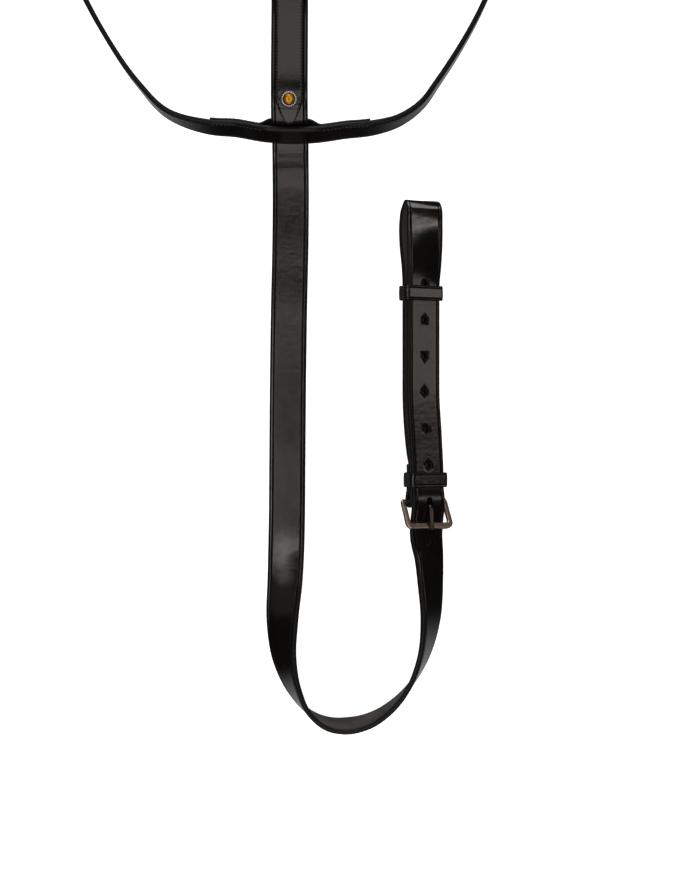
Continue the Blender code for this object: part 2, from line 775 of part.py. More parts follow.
class ReinRing:
    """A ring of round wire held in a fold, its far side resting on the table."""

    PLY = 1.9
    TURNED = 22.0

    def __init__(self, side):
        width = (STRAP_WIDTH - FORK_SLIT) / 2
        self.radius = RING_INNER + RING_WIRE
        self.sagitta = self.radius - math.sqrt(self.radius**2 - (width / 2) ** 2)
        bore = RING_WIRE + self.sagitta / 2 + RING_PLAY
        self.fold = Fold(0.0, STRAP_THICK, self.PLY, bore, self.TURNED)
        height = SEAM - self.fold.bottom
        origin = (CHEST_X + side * FORK_SPREAD, FORK_REACH, height)
        self.bench = Bench(origin, (side * 0.16, 1, 0), UP)
        self.pivot = self.bench.at(0, self.fold.bar_n)
        to_centre = self.radius - self.sagitta / 2
        self.tilt = math.asin((self.pivot.z - RING_WIRE - FIT) / (to_centre + self.radius))
        self.to_centre = to_centre


def make_rein_ring(name, ring, metal):
    bm = torus(ring.radius, RING_WIRE, 32, 12)
    place = ring.bench.turned(0, ring.fold.bar_n, -ring.tilt) @ Matrix.Translation((0, ring.to_centre, 0))
    bm.transform(place)
    return add(name, bm, metal, ring.pivot)


def make_chest_tab(route, tip_at, stud_at, leather):
    """The shield on the chest, pointed at both ends and sewn on. It reaches over the lap's end."""
    start = lap_start() - TAB_OVER
    rest = STRAP_THICK / 2 + SEAM + TAB_THICK / 2

    def shape(s, across, above):
        to_point = min(s - start, tip_at - s)
        share = min(max(to_point / TAB_POINT, 0.0), 1.0)
        return across * max(share**0.6, 0.03), above + rest

    shares = (0.04, 0.12, 0.25, 0.45, 0.7, 1.0)
    cuts = [start + TAB_POINT * share for share in shares] + [tip_at - TAB_POINT * share for share in shares]
    piece = add("chest_tab", strap(route, start, tip_at, TAB_WIDTH, TAB_THICK, shape, cuts), leather)
    change(piece, stud_hole(route, stud_at))
    return piece


def stud_matrix(route, stud_at):
    """Matrix of the stud: its z axis is the leather's normal, and z = 0 is the top of the tab."""
    along, side, out = route.axes(stud_at)
    top = STRAP_THICK / 2 + SEAM + TAB_THICK
    turn = Matrix((side, out.cross(side), out)).transposed().to_4x4()
    return Matrix.Translation(route.place(stud_at, 0, top)) @ turn


def stud_hole(route, stud_at):
    depth = TAB_THICK + STRAP_THICK + SEAM
    bm = bmesh.new()
    radius = STUD_POST + FIT
    place = stud_matrix(route, stud_at) @ Matrix.Translation((0, 0, -depth / 2))
    bmesh.ops.create_cone(
        bm, cap_ends=True, segments=ROUND_STEPS, radius1=radius, radius2=radius, depth=depth + 3, matrix=place
    )
    return bm


def make_stud(route, stud_at, silver, gold, steel):
    """Badge with a raised rim and a post, the dome in its cup, and the washer behind the strap."""
    place = stud_matrix(route, stud_at)
    under = -(TAB_THICK + STRAP_THICK + SEAM + WASHER_GAP)
    depth = WASHER_THICK - under
    cup = STUD_DOME + SEAM
    floor = STUD_HEIGHT * 0.6
    rim = turned_profile(
        [
            (0, -depth),
            (STUD_POST, -depth),
            (STUD_POST, SEAM),
            (STUD_RADIUS - 0.5, SEAM),
            (STUD_RADIUS, SEAM + 0.5),
            (STUD_RADIUS - 0.3, STUD_HEIGHT * 0.8),
            (STUD_RADIUS - 1.0, STUD_HEIGHT),
            (cup, STUD_HEIGHT),
            (cup, floor),
            (0, floor),
        ],
        24,
    )
    rim.transform(place)
    add("stud_rim", rim, silver)
    base = floor + SEAM
    shoulder = STUD_HEIGHT - 0.1
    crown = [(STUD_DOME * math.cos(a), shoulder + STUD_DOME_RISE * math.sin(a)) for a in (0.0, 0.5, 1.0)]
    dome = turned_profile([(0, base), (STUD_DOME, base), *crown, (0, shoulder + STUD_DOME_RISE)], 20)
    dome.transform(place)
    add("stud_dome", dome, gold)
    washer = bmesh.new()
    rings = []
    for z in (under, under - WASHER_THICK):
        for radius in (WASHER_RADIUS, STUD_POST + SEAM):
            verts = bmesh.ops.create_circle(washer, segments=ROUND_STEPS, radius=radius)["verts"]
            bmesh.ops.translate(washer, verts=verts, vec=(0, 0, z))
            rings.append(list({edge for vertex in verts for edge in vertex.link_edges}))
    for a, b in ((0, 1), (2, 3), (0, 2), (1, 3)):
        bmesh.ops.bridge_loops(washer, edges=rings[a] + rings[b])
    washer.transform(place)
    add("stud_washer", washer, steel)


def make_buckle_frame(name, buckle, metal):
    """A frame cut from plate, open on the near side, where a round bar closes it."""
    inner = buckle.window
    outer = inner + buckle.side_rail
    far = buckle.reach + buckle.rail / 2
    near = buckle.reach - buckle.rail / 2
    end = buckle.side_rail / 2
    corner, inside = buckle.rail * 0.95, buckle.rail * 0.35
    middle = (inner + outer) / 2
    outline = arc((-middle, 0), end, 360, 180, 4)
    outline += arc((-outer + corner, far - corner), corner, 180, 90, 4)
    outline += arc((outer - corner, far - corner), corner, 90, 0, 4)
    outline += arc((middle, 0), end, 0, -180, 4)
    outline += arc((inner - inside, near - inside), inside, 0, 90, 2)
    outline += arc((-inner + inside, near - inside), inside, 90, 180, 2)
    bm = outline_prism(outline, buckle.plate, buckle.plate * 0.22)
    place = buckle.bench.turned(0, buckle.bar_n, buckle.pitch)
    bm.transform(place)
    frame = add(name, bm, metal, buckle.pivot)
    bar = rod(buckle.bar, 2 * middle, 16)
    bar.transform(place)
    change(frame, bar, "UNION")
    return frame


def make_tongue(name, buckle, frame, metal):
    """An eye round the bar and an arm that rises through the billet and lies down on the far bar."""
    bench = buckle.bench
    eye_wall = buckle.tongue_thick * 0.55
    hole = buckle.bar + 0.25
    billet_top = buckle.over + buckle.thick / 2
    seat = buckle.far_n + buckle.plate / 2 / math.cos(buckle.pitch) + buckle.tongue_thick / 2 + SEAM
    radius = buckle.fold.radius
    line = [
        (0.1 * radius, buckle.bar_n + hole + eye_wall * 0.6),
        (0.55 * radius, (buckle.fold.top + billet_top) / 2),
        (1.15 * radius, billet_top + 0.5 * buckle.tongue_thick),
        (0.52 * buckle.far_s, billet_top + 0.95 * buckle.tongue_thick),
        (buckle.far_s, seat),
        (buckle.far_s + buckle.rail * 0.62, seat + buckle.rail * 0.2),
    ]
    route = Route([Stop(bench.at(s, n), bench.side, buckle.tongue_thick) for s, n in line])
    arm = strap(route, 0.0, route.end, buckle.tongue_width, buckle.tongue_thick)
    tongue = add(name, arm, metal, buckle.pivot, frame)
    eye = rod(hole + eye_wall, buckle.tongue_width, ROUND_STEPS)
    eye.transform(bench.turned(0, buckle.bar_n))
    change(tongue, eye, "UNION")
    bore = rod(hole, buckle.tongue_width + 4, ROUND_STEPS)
    bore.transform(bench.turned(0, buckle.bar_n))
    change(tongue, bore)
    return tongue


def make_keeper(name, buckle, s, low, high, width, wall, length, leather, w=0.0):
    """A keeper round the layered straps, from the low to the high face of the stack."""
    bm = band(width + 2 * KEEPER_PLAY, high - low + 2 * KEEPER_PLAY, wall, length)
    place = buckle.bench.turned(s, (low + high) / 2)
    place = Matrix.Translation(buckle.bench.side * w) @ place
    bm.transform(place)
    return add(name, bm, leather, place.translation)


def make_keepers(prefix, buckle, runner_at, wall, length, leather, shift=0.0, back_shift=0.0):
    top = buckle.front + buckle.thick / 2
    plies = buckle.fold.lower - buckle.fold.ply / 2
    fixed_at = buckle.fold.part_at - length / 2
    bottom = -buckle.front - buckle.thick / 2
    make_keeper(prefix + "_fixed_keeper", buckle, fixed_at, plies, top + SEAM, buckle.width, wall, length, leather)
    make_keeper(
        prefix + "_runner_keeper", buckle, runner_at, bottom, top, buckle.width + back_shift, wall, length,
        leather, shift + back_shift / 2,
    )


STOCK = {STRAP_THICK: STRAP_THICK, NECK_THICK: NECK_THICK}


def main():
    for leftover in list(bpy.data.objects):
        bpy.data.objects.remove(leftover)

    black = finish("black_bridle_leather", "2b2725", 0.42)
    edge_black = finish("black_lining_leather", "1f1c1b", 0.55)
    gunmetal = finish("gunmetal_plated_steel", "7a6c62", 0.32, 1.0)
    nickel = finish("nickel_plated_brass", "c9c6c0", 0.25, 1.0)
    gold = finish("gold_plated_brass", "d99a22", 0.25, 1.0)

    girth_bench, neck_bench = make_benches()
    girth = Buckle(
        girth_bench, STRAP_WIDTH, STRAP_THICK, ply=2.2, bar=1.7, rail=4.4, side_rail=3.6, plate=2.8,
        reach=18.7, pitch=27.0, tongue=(3.4, 2.4), turned_length=26.0,
    )
    neck = Buckle(
        neck_bench, NECK_WIDTH, NECK_THICK, ply=1.8, bar=1.5, rail=3.4, side_rail=3.0, plate=2.2,
        reach=14.2, pitch=24.0, tongue=(2.6, 1.8), turned_length=22.0,
    )
    neck_route, crossing_at = make_neck_route(neck)
    body_route, tongue_at, hump_at = make_body_route(neck_route, crossing_at, girth)
    stud_at = hump_at + 0.4
    tip_at = stud_at + TIP_FROM_STUD

    make_body_strap(body_route, tongue_at, stud_at, girth, black)
    make_chest_tab(body_route, tip_at, stud_at, black)
    make_stud(body_route, stud_at, nickel, gold, gunmetal)
    for name, side in (("left", -1), ("right", 1)):
        ring = ReinRing(side)
        make_fork_strap("fork_strap_" + name, side, body_route, ring, black)
        make_rein_ring("rein_ring_" + name, ring, gunmetal)

    make_neck_strap(neck_route, crossing_at, neck, black)
    make_crossing_loop(neck_route, crossing_at, edge_black)

    for prefix, buckle in (("girth", girth), ("neck", neck)):
        frame = make_buckle_frame(prefix + "_buckle_frame", buckle, gunmetal)
        make_tongue(prefix + "_buckle_tongue", buckle, frame, gunmetal)
    make_keepers(
        "girth", girth, GIRTH_RUNNER_AT, KEEPER_THICK, KEEPER_WIDTH, black, GIRTH_SHIFT, GIRTH_BACK_SHIFT
    )
    make_keepers("neck", neck, NECK_RUNNER_AT, NECK_KEEPER_THICK, NECK_KEEPER_WIDTH, black)
    centre_on_table()


def centre_on_table():
    """Moves every piece so that the origin is under the middle of the whole object."""
    bpy.context.view_layer.update()
    solids = [piece for piece in bpy.data.objects if not piece.hide_render]
    corners = [piece.matrix_world @ Vector(corner) for piece in solids for corner in piece.bound_box]
    lowest = [min(corner[i] for corner in corners) for i in range(3)]
    highest = [max(corner[i] for corner in corners) for i in range(3)]
    shift = Vector(((lowest[0] + highest[0]) / 2, (lowest[1] + highest[1]) / 2, lowest[2]))
    for piece in bpy.data.objects:
        if not piece.parent:
            piece.location -= shift
    print("moved by", [round(value / MM, 3) for value in shift], "size", [
        round((highest[i] - lowest[i]) / MM, 2) for i in range(3)
    ])


main()
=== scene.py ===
"""Martingale breastplate in black bridle leather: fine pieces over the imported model, in a plain studio.

Lengths are in millimetres in the plan that the straps are laid out in, until a piece is finished: then it
goes to metres and to its place in the frame.
"""

import json
import logging
import math
from collections.abc import Callable, Iterable, Sequence
from dataclasses import dataclass, field
from enum import Enum

import bmesh
import bpy
from mathutils import Matrix, Vector
from mathutils.geometry import interpolate_bezier

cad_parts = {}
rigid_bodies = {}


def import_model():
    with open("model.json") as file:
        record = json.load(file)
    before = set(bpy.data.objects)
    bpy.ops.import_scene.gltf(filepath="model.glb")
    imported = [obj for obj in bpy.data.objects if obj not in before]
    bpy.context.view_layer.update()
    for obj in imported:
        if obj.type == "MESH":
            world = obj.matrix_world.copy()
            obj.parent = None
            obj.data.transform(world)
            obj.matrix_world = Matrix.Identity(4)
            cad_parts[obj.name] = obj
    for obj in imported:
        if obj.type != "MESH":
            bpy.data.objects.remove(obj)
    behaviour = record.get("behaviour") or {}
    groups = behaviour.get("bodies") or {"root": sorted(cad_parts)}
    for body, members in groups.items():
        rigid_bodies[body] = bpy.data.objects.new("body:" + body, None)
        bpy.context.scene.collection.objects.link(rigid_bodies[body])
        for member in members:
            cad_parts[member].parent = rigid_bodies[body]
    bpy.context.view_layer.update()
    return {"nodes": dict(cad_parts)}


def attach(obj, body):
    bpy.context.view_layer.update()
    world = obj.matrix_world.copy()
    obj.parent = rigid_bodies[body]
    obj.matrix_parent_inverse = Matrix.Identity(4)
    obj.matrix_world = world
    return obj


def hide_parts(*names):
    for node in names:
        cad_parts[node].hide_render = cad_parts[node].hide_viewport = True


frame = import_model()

MM = 0.001
PLAN_ORIGIN = Vector((-46.479, 229.058, -0.187))
UP = Vector((0.0, 0.0, 1.0))
SHARP_ANGLE = math.radians(38)
WELD = 0.001
STRAPS, LEATHER, METAL = "straps", "black_bridle_leather", "gunmetal_plated_steel"
NARROW_EDGES = {"edge_round": 1.1, "crease_in": 2.1, "crease_depth": 0.25, "crease_half": 0.4}
NARROW_STITCH = {"pitch": 2.9, "length": 2.3, "thread": 0.38}

BMesh, Material, Socket = bmesh.types.BMesh, bpy.types.Material, bpy.types.NodeSocket
Point = tuple[float, float]
Shape = Callable[[float, float, float], Point]
Relief = tuple[Socket, float, float]

log = logging.getLogger("breastplate")


class Side(Enum):
    """Side of the chest that a branch and its rein ring are on."""

    LEFT = -1
    RIGHT = 1


class Zone(Enum):
    """Place of a finish in a leather piece's slots."""

    GRAIN = 0
    EDGE = 1
    FLESH = 2
    CUT = 3


# Numbers


def lerp(a: float, b: float, f: float) -> float:
    """Value at a share f of the way from a to b."""
    return a + (b - a) * f


def clamp(f: float) -> float:
    """The share, kept between 0 and 1."""
    return min(max(f, 0.0), 1.0)


def smooth(f: float) -> float:
    """Eased share, level at 0 and at 1."""
    f = clamp(f)
    return f * f * (3 - 2 * f)


def rounding(f: float) -> float:
    """Height of a round end at a share f of its length, from 0 at the end to 1."""
    return math.sqrt(max(1 - (1 - f) ** 2, 0.0))


def bell(r: float, middle: float, width: float) -> float:
    """Height of a bell curve that is 1 at its middle."""
    return math.exp(-(((r - middle) / width) ** 2))


def posed(x: Vector, y: Vector, z: Vector, place: Vector) -> Matrix:
    """Matrix that sets a piece at a place, its axes along three unit vectors."""
    return Matrix.Translation(place) @ Matrix((x, y, z)).transposed().to_4x4()


def arc(centre: Point, radius: float, first: float, last: float, steps: int) -> list[Point]:
    """Points on an arc.

    Args:
        centre: Middle of the arc.
        radius: Its radius.
        first: Angle of the first point, in degrees.
        last: Angle of the last point, in degrees.
        steps: Number of equal steps.

    Returns:
        The points in order.
    """
    angles = [math.radians(lerp(first, last, k / steps)) for k in range(steps + 1)]
    return [(centre[0] + radius * math.cos(a), centre[1] + radius * math.sin(a)) for a in angles]


def rounded_rectangle(width: float, height: float, radius: float, steps: int) -> list[Point]:
    """Outline of a rectangle with rounded corners.

    Args:
        width: Size in the first direction.
        height: Size in the second direction.
        radius: Corner radius.
        steps: Steps in each corner.

    Returns:
        The outline, anticlockwise from the right side.
    """
    x, y = width / 2 - radius, height / 2 - radius
    points = arc((x, y), radius, 0, 90, steps) + arc((-x, y), radius, 90, 180, steps)
    return points + arc((-x, -y), radius, 180, 270, steps) + arc((x, -y), radius, 270, 360, steps)


# Routes and benches


@dataclass(frozen=True)
class Stop:
    """A place that a strap passes, with its across direction and its thickness there."""

    place: Vector
    across: Vector
    thick: float


class Route:
    """A smooth line through stops. It places a point by its distance along, across and above a strap."""

    FINE = 24
    EASE = 6

    def __init__(self, stops: Sequence[Stop]) -> None:
        """Joins the stops with smooth bends and eases the roll from one to the next.

        Args:
            stops: Stops in order.
        """
        places = [stop.place for stop in stops]
        tangents = [self.direction_at(places, i) for i in range(len(places))]
        self.points: list[Vector] = []
        self.thicks: list[float] = []
        rolls: list[Vector] = []
        for i in range(len(stops) - 1):
            a, b = places[i], places[i + 1]
            third = (b - a).length / 3
            pulls = a + tangents[i] * third, b - tangents[i + 1] * third
            bend = interpolate_bezier(a, *pulls, b, self.FINE + 1)
            last = i == len(stops) - 2
            for k in range(self.FINE + 1 if last else self.FINE):
                f = k / self.FINE
                self.points.append(bend[k])
                rolls.append(stops[i].across.lerp(stops[i + 1].across, f))
                self.thicks.append(lerp(stops[i].thick, stops[i + 1].thick, f))
        self.lengths = [0.0]
        for a, b in zip(self.points, self.points[1:]):
            self.lengths.append(self.lengths[-1] + (b - a).length)
        self.marks = [self.lengths[min(i * self.FINE, len(self.lengths) - 1)] for i in range(len(stops))]
        self.end = self.lengths[-1]
        self.frames = [self.frame_at(i, self.eased(rolls, i)) for i in range(len(self.points))]

    @staticmethod
    def direction_at(places: Sequence[Vector], i: int) -> Vector:
        """Direction of travel at a stop, the nearer neighbour counting more.

        Args:
            places: Places of all the stops.
            i: Number of the stop.

        Returns:
            Unit vector.
        """
        if i == 0:
            return (places[1] - places[0]).normalized()
        if i == len(places) - 1:
            return (places[-1] - places[-2]).normalized()
        before, after = places[i] - places[i - 1], places[i + 1] - places[i]
        return (before.normalized() * after.length + after.normalized() * before.length).normalized()

    def eased(self, rolls: Sequence[Vector], i: int) -> Vector:
        """Mean of the across directions round a fine point, so that the roll has no kink at a stop."""
        near = rolls[max(i - self.EASE, 0) : i + self.EASE + 1]
        return sum(near, Vector((0.0, 0.0, 0.0))) / len(near)

    def frame_at(self, i: int, across: Vector) -> tuple[Vector, Vector, Vector]:
        """Directions along, across and out of the strap at a fine point.

        Args:
            i: Number of the fine point.
            across: Rough across direction.

        Returns:
            Three unit vectors at right angles.
        """
        ahead = self.points[min(i + 1, len(self.points) - 1)]
        behind = self.points[max(i - 1, 0)]
        along = (ahead - behind).normalized()
        side = (across - along * across.dot(along)).normalized()
        return along, side, along.cross(side)

    def find(self, s: float) -> tuple[int, float]:
        """Fine point before a distance, and the share of the way to the next.

        Args:
            s: Distance along the route.

        Returns:
            Number of the fine point, and the share.
        """
        low, high = 0, len(self.lengths) - 2
        while low < high:
            middle = (low + high + 1) // 2
            if self.lengths[middle] <= s:
                low = middle
            else:
                high = middle - 1
        return low, (s - self.lengths[low]) / (self.lengths[low + 1] - self.lengths[low])

    def axes(self, s: float) -> list[Vector]:
        """Directions along, across and out at a distance."""
        i, f = self.find(s)
        return [a.lerp(b, clamp(f)).normalized() for a, b in zip(self.frames[i], self.frames[i + 1])]

    def place(self, s: float, across: float = 0.0, above: float = 0.0) -> Vector:
        """Point of the plan at a distance along, across and above the middle of the strap.

        Args:
            s: Distance along the route.
            across: Distance across the strap.
            above: Height above its middle.

        Returns:
            The point.
        """
        i, f = self.find(s)
        _, side, out = self.axes(s)
        return self.points[i].lerp(self.points[i + 1], f) + side * across + out * above

    def standing(self, s: float, above: float = 0.0) -> Matrix:
        """Matrix of a piece that stands on the strap: x across it and z out of it."""
        _, side, out = self.axes(s)
        return posed(side, out.cross(side), out, self.place(s, 0.0, above))

    def thick(self, s: float) -> float:
        """Thickness of the strap at a distance."""
        i, f = self.find(s)
        return lerp(self.thicks[i], self.thicks[i + 1], clamp(f))

    def stations(self, start: float, end: float, longest: float, turn: float) -> list[float]:
        """Distances at which a blank is cut across, closer together where the route bends or twists.

        Args:
            start: First distance.
            end: Last distance.
            longest: Longest step.
            turn: Largest bend or twist in a step, in degrees.

        Returns:
            Distances from start to end.
        """
        found, last, mark = [start], self.frames[self.find(start)[0]], start
        for s, axes in zip(self.lengths, self.frames):
            if not start + 0.05 < s < end - 0.05:
                continue
            turned = max(axes[0].angle(last[0]), axes[1].angle(last[1]))
            if turned > math.radians(turn) or s - mark > longest:
                found.append(s)
                last, mark = axes, s
        return found + [end]


class Bench:
    """A local frame at a buckle: s runs toward the far bar, n out of the face and w to one side."""

    def __init__(self, origin: Sequence[float], along: Sequence[float], out: Sequence[float]) -> None:
        """Sets the frame up.

        Args:
            origin: Place of the buckle's bar.
            along: Direction toward the far bar.
            out: Direction out of the face.
        """
        self.origin = Vector(origin)
        self.along = Vector(along).normalized()
        self.out = Vector(out).normalized()
        self.side = self.along.cross(self.out)

    def at(self, s: float, n: float, w: float = 0.0) -> Vector:
        """Point of the plan at bench distances."""
        return self.origin + self.along * s + self.out * n + self.side * w

    def turned(self, s: float, n: float, pitch: float = 0.0) -> Matrix:
        """Matrix of a piece at (s, n): x to the side, y along, z out, pitched up about the side axis.

        Args:
            s: Distance toward the far bar.
            n: Distance out of the face.
            pitch: Angle in radians.

        Returns:
            The matrix, in the plan.
        """
        along = self.along * math.cos(pitch) + self.out * math.sin(pitch)
        out = self.out * math.cos(pitch) - self.along * math.sin(pitch)
        return posed(self.side, along, out, self.at(s, n))


@dataclass
class Fold:
    """The end of a strap, thinned to a ply, turned round a bar and sewn back under itself."""

    back: float
    thick: float
    ply: float
    bore: float
    turned_length: float
    seam: float = 0.3
    skive: float = 8.0

    def __post_init__(self) -> None:
        """Works out the heights that the other pieces take from the fold."""
        self.upper = self.back + self.thick / 2 - self.ply / 2
        self.lower = self.upper - self.ply - self.seam
        self.bar_n = (self.upper + self.lower) / 2
        self.radius = self.bore + self.ply / 2
        self.top = self.bar_n + self.radius + self.ply / 2
        self.bottom = self.bar_n - self.radius - self.ply / 2
        self.part_at = -3.2 * self.radius

    def line(self) -> list[tuple[float, float, float]]:
        """Points (s, n, thickness) from the full strap round the bar to the turned end.

        Returns:
            The points in order.
        """
        points = [
            (-self.turned_length - self.skive - 4, self.back, self.thick),
            (-self.turned_length - self.skive, self.back, self.thick),
            (-self.turned_length, self.upper, self.ply),
            (self.part_at, self.upper, self.ply),
        ]
        for s, n in arc((0.0, self.bar_n), self.radius, 100, -100, 5):
            points.append((s, n, self.ply))
        points.append((self.part_at, self.lower, self.ply))
        points.append((-self.turned_length, self.lower, self.ply))
        return points


@dataclass
class Buckle:
    """Sizes of a buckled end: billet over the folded chape, frame, tongue and keepers."""

    bench: Bench
    width: float
    thick: float
    ply: float
    bar: float
    rail: float
    side_rail: float
    plate: float
    reach: float
    pitch_degrees: float
    tongue_width: float
    tongue_thick: float
    turned_length: float
    layer_gap: float = 0.8
    fit: float = 0.35
    seam: float = 0.3

    def __post_init__(self) -> None:
        """Works out where the billet, the far bar and the folded end lie."""
        self.pitch = math.radians(self.pitch_degrees)
        self.front = (self.thick + self.layer_gap) / 2
        self.fold = Fold(-self.front, self.thick, self.ply, self.bar + self.seam, self.turned_length)
        self.bar_n = self.fold.bar_n
        self.over = self.fold.top + self.fit + self.thick / 2
        self.far_s = self.reach * math.cos(self.pitch)
        self.far_n = self.bar_n + self.reach * math.sin(self.pitch)
        drop = self.plate / 2 * math.cos(self.pitch) + self.rail / 2 * math.sin(self.pitch)
        self.under = self.far_n - drop - self.fit - self.thick / 2
        self.window = self.width / 2 + 2 * (self.width * 0.0275 + self.fit)

    def billet(self) -> list[tuple[float, float]]:
        """Points (s, n) of the billet, from the layered straps over the fold and under the far bar.

        Returns:
            The points in order.
        """
        return [
            (self.fold.part_at - 3.0, self.front),
            (self.fold.part_at - 0.6, self.front),
            (-0.7 * self.fold.radius, self.over),
            (1.1 * self.fold.radius, self.over - 0.15),
            (self.far_s - 0.3 * self.rail, self.under),
            (self.far_s + 1.1 * self.rail, self.under - 0.5),
        ]


def table_stops(
    places: Sequence[tuple[float, float, float, float]], width: float, thick: float
) -> list[Stop]:
    """Stops of a strap that rests on the table on its outer edge, the inner edge rolled up.

    Args:
        places: x, y, roll in degrees and lift off the table.
        width: Width of the strap.
        thick: Thickness of the strap.

    Returns:
        One stop for each place.
    """
    stops = []
    for i, (x, y, roll, lift) in enumerate(places):
        before, after = places[max(i - 1, 0)], places[min(i + 1, len(places) - 1)]
        along = Vector((after[0] - before[0], after[1] - before[1], 0)).normalized()
        angle = math.radians(roll)
        across = UP.cross(along) * math.cos(angle) + UP * math.sin(angle)
        height = width / 2 * math.sin(angle) + thick / 2 * abs(math.cos(angle))
        stops.append(Stop(Vector((x, y, height + lift)), across, thick))
    return stops


# Mesh tools


@dataclass(frozen=True)
class Section:
    """Cross-section of a leather strap: burnished round edges and a creased line near each, on the grain."""

    width: float
    thick: float
    edge_round: float = 1.25
    crease_in: float = 2.8
    crease_depth: float = 0.34
    crease_half: float = 0.42
    fall: float = 0.16

    def outline(self) -> list[Point]:
        """Points (across, above) round the section, from the middle of the flesh side.

        Returns:
            The points in order.
        """
        half, top = self.width / 2, self.thick / 2
        radius = min(self.edge_round, top * 0.9)
        points = [(0.0, -top), (0.45 * half, -top)]
        points += arc((half - radius, radius - top), radius, -90, 0, 3)
        fall = self.fall if self.crease_in else 0.0
        points += arc((half - radius, top - fall - radius), radius, 0, 90, 3)
        if self.crease_in:
            line, wide, deep = half - self.crease_in, self.crease_half, self.crease_depth
            groove = (
                (2.1, 0.25 * fall), (1.6, 0.2 * fall), (0.8, 0.5 * deep), (0.0, deep), (-0.8, 0.5 * deep),
                (-1.6, 0.0), (-2.1, 0.0),
            )
            points += [(line + aside * wide, top - down) for aside, down in groove]
        points += [(0.45 * (half - self.crease_in), top), (0.0, top)]
        return points + [(-across, above) for across, above in reversed(points[1:-1])]

    def zone(self, across: float, above: float) -> Zone:
        """Zone of the face at a place of the section.

        Args:
            across: Distance across the strap.
            above: Height above its middle.

        Returns:
            The zone.
        """
        if abs(across) > self.width / 2 - min(self.edge_round, self.thick * 0.45):
            return Zone.EDGE
        return Zone.GRAIN if above > 0 else Zone.FLESH


@dataclass(frozen=True)
class Bar:
    """Cross-section of a metal bar, rectangular with rounded corners. It has one zone."""

    width: float
    thick: float
    corner: float
    steps: int = 4

    def outline(self) -> list[Point]:
        """Points (across, above) round the section."""
        return rounded_rectangle(self.width, self.thick, self.corner, self.steps)

    def zone(self, across: float, above: float) -> Zone:
        """The bar's only zone."""
        return Zone.GRAIN


def outlined(section: Section | Bar, capped: bool, far: float | None = None) -> BMesh:
    """The outline of a section: across along y, above along z, or along x beyond far for a spin.

    Args:
        section: The cross-section.
        capped: Whether it gets a face.
        far: Distance from the spin's axis to the section's middle.

    Returns:
        The outline.
    """
    bm, outline = bmesh.new(), section.outline()
    bmesh.ops.create_circle(bm, cap_ends=capped, segments=len(outline), radius=1.0)
    ring = sorted(bm.verts, key=lambda v: math.atan2(v.co.y, v.co.x) % math.tau)
    for vertex, (across, above) in zip(ring, outline):
        vertex.co = (0.0, across, above) if far is None else (far + above, across, 0.0)
    return bm


def spin_round(bm: BMesh, axis: Sequence[float], steps: int) -> None:
    """Turns all of a mesh once round an axis through the origin, and welds it.

    Args:
        bm: The mesh.
        axis: Direction of the axis.
        steps: Steps round it.
    """
    bmesh.ops.spin(
        bm, geom=bm.verts[:] + bm.edges[:], cent=(0, 0, 0), axis=axis, angle=math.tau, steps=steps,
        use_merge=True,
    )
    bmesh.ops.remove_doubles(bm, verts=bm.verts, dist=WELD)


def lay(
    route: Route, section: Section | Bar, stations: Sequence[float], shape: Shape | None = None
) -> BMesh:
    """Extrudes a section, cuts it across at the stations and lays it along a route.

    Two UV maps go with it, in metres: "strap" is the distance along and across, and "border" is the
    distance in from the nearer edge and the height above the middle.

    Args:
        route: The line to follow.
        section: Cross-section and its zones.
        stations: Distances of the cuts, with both ends.
        shape: Changes (across, above) at a distance along.

    Returns:
        The laid blank, in the plan.
    """
    bm = outlined(section, True)
    grown = bmesh.ops.extrude_face_region(bm, geom=bm.faces[:])["geom"]
    bmesh.ops.translate(bm, vec=(1, 0, 0), verts=[v for v in grown if isinstance(v, bmesh.types.BMVert)])
    long_edges = [e for e in bm.edges if abs(e.verts[0].co.x - e.verts[1].co.x) > 0.5]
    for face in bm.faces:
        middle = face.calc_center_median()
        capped = min(v.co.x for v in face.verts) == max(v.co.x for v in face.verts)
        face.material_index = (Zone.EDGE if capped else section.zone(middle.y, middle.z)).value
    bmesh.ops.subdivide_edges(bm, edges=long_edges, cuts=len(stations) - 2)
    strap_map, border_map = bm.loops.layers.uv.new("strap"), bm.loops.layers.uv.new("border")
    last = len(stations) - 1
    frames = [(route.place(s), *route.axes(s)[1:], route.thick(s) / route.thicks[0]) for s in stations]
    for face in bm.faces:
        for loop in face.loops:
            share, across, above = loop.vert.co
            loop[strap_map].uv = (stations[round(share * last)] * MM, across * MM)
            loop[border_map].uv = ((section.width / 2 - abs(across)) * MM, above * MM)
    for vertex in bm.verts:
        number = round(vertex.co.x * last)
        across, above = vertex.co.y, vertex.co.z
        middle, side, out, thinned = frames[number]
        above *= thinned
        if shape:
            across, above = shape(stations[number], across, above)
        vertex.co = middle + side * across + out * above
    return bm


def hoop(section: Section | Bar, path: Sequence[tuple[Point, Point]], necked: float = 0.0) -> BMesh:
    """Spins a section into a ring, then sets the ring on a closed path.

    Args:
        section: Cross-section: across lies along y, above points out of the path.
        path: Points of the path in x and z, each with its outward normal.
        necked: Share by which the hoop is narrower where it faces along x.

    Returns:
        The closed hoop.
    """
    far = 10.0 * (section.width + section.thick)
    bm = outlined(section, False, far)
    spin_round(bm, (0, -1, 0), len(path))
    for face in bm.faces:
        middle = face.calc_center_median()
        above = math.hypot(middle.x, middle.z) - far
        face.material_index = section.zone(middle.y, above).value
    for vertex in bm.verts:
        turn = math.atan2(vertex.co.z, vertex.co.x) % math.tau
        above = math.hypot(vertex.co.x, vertex.co.z) - far
        (x, z), (right, up) = path[round(turn / math.tau * len(path)) % len(path)]
        vertex.co = (x + right * above, vertex.co.y * (1 - necked * right**4), z + up * above)
    return bm


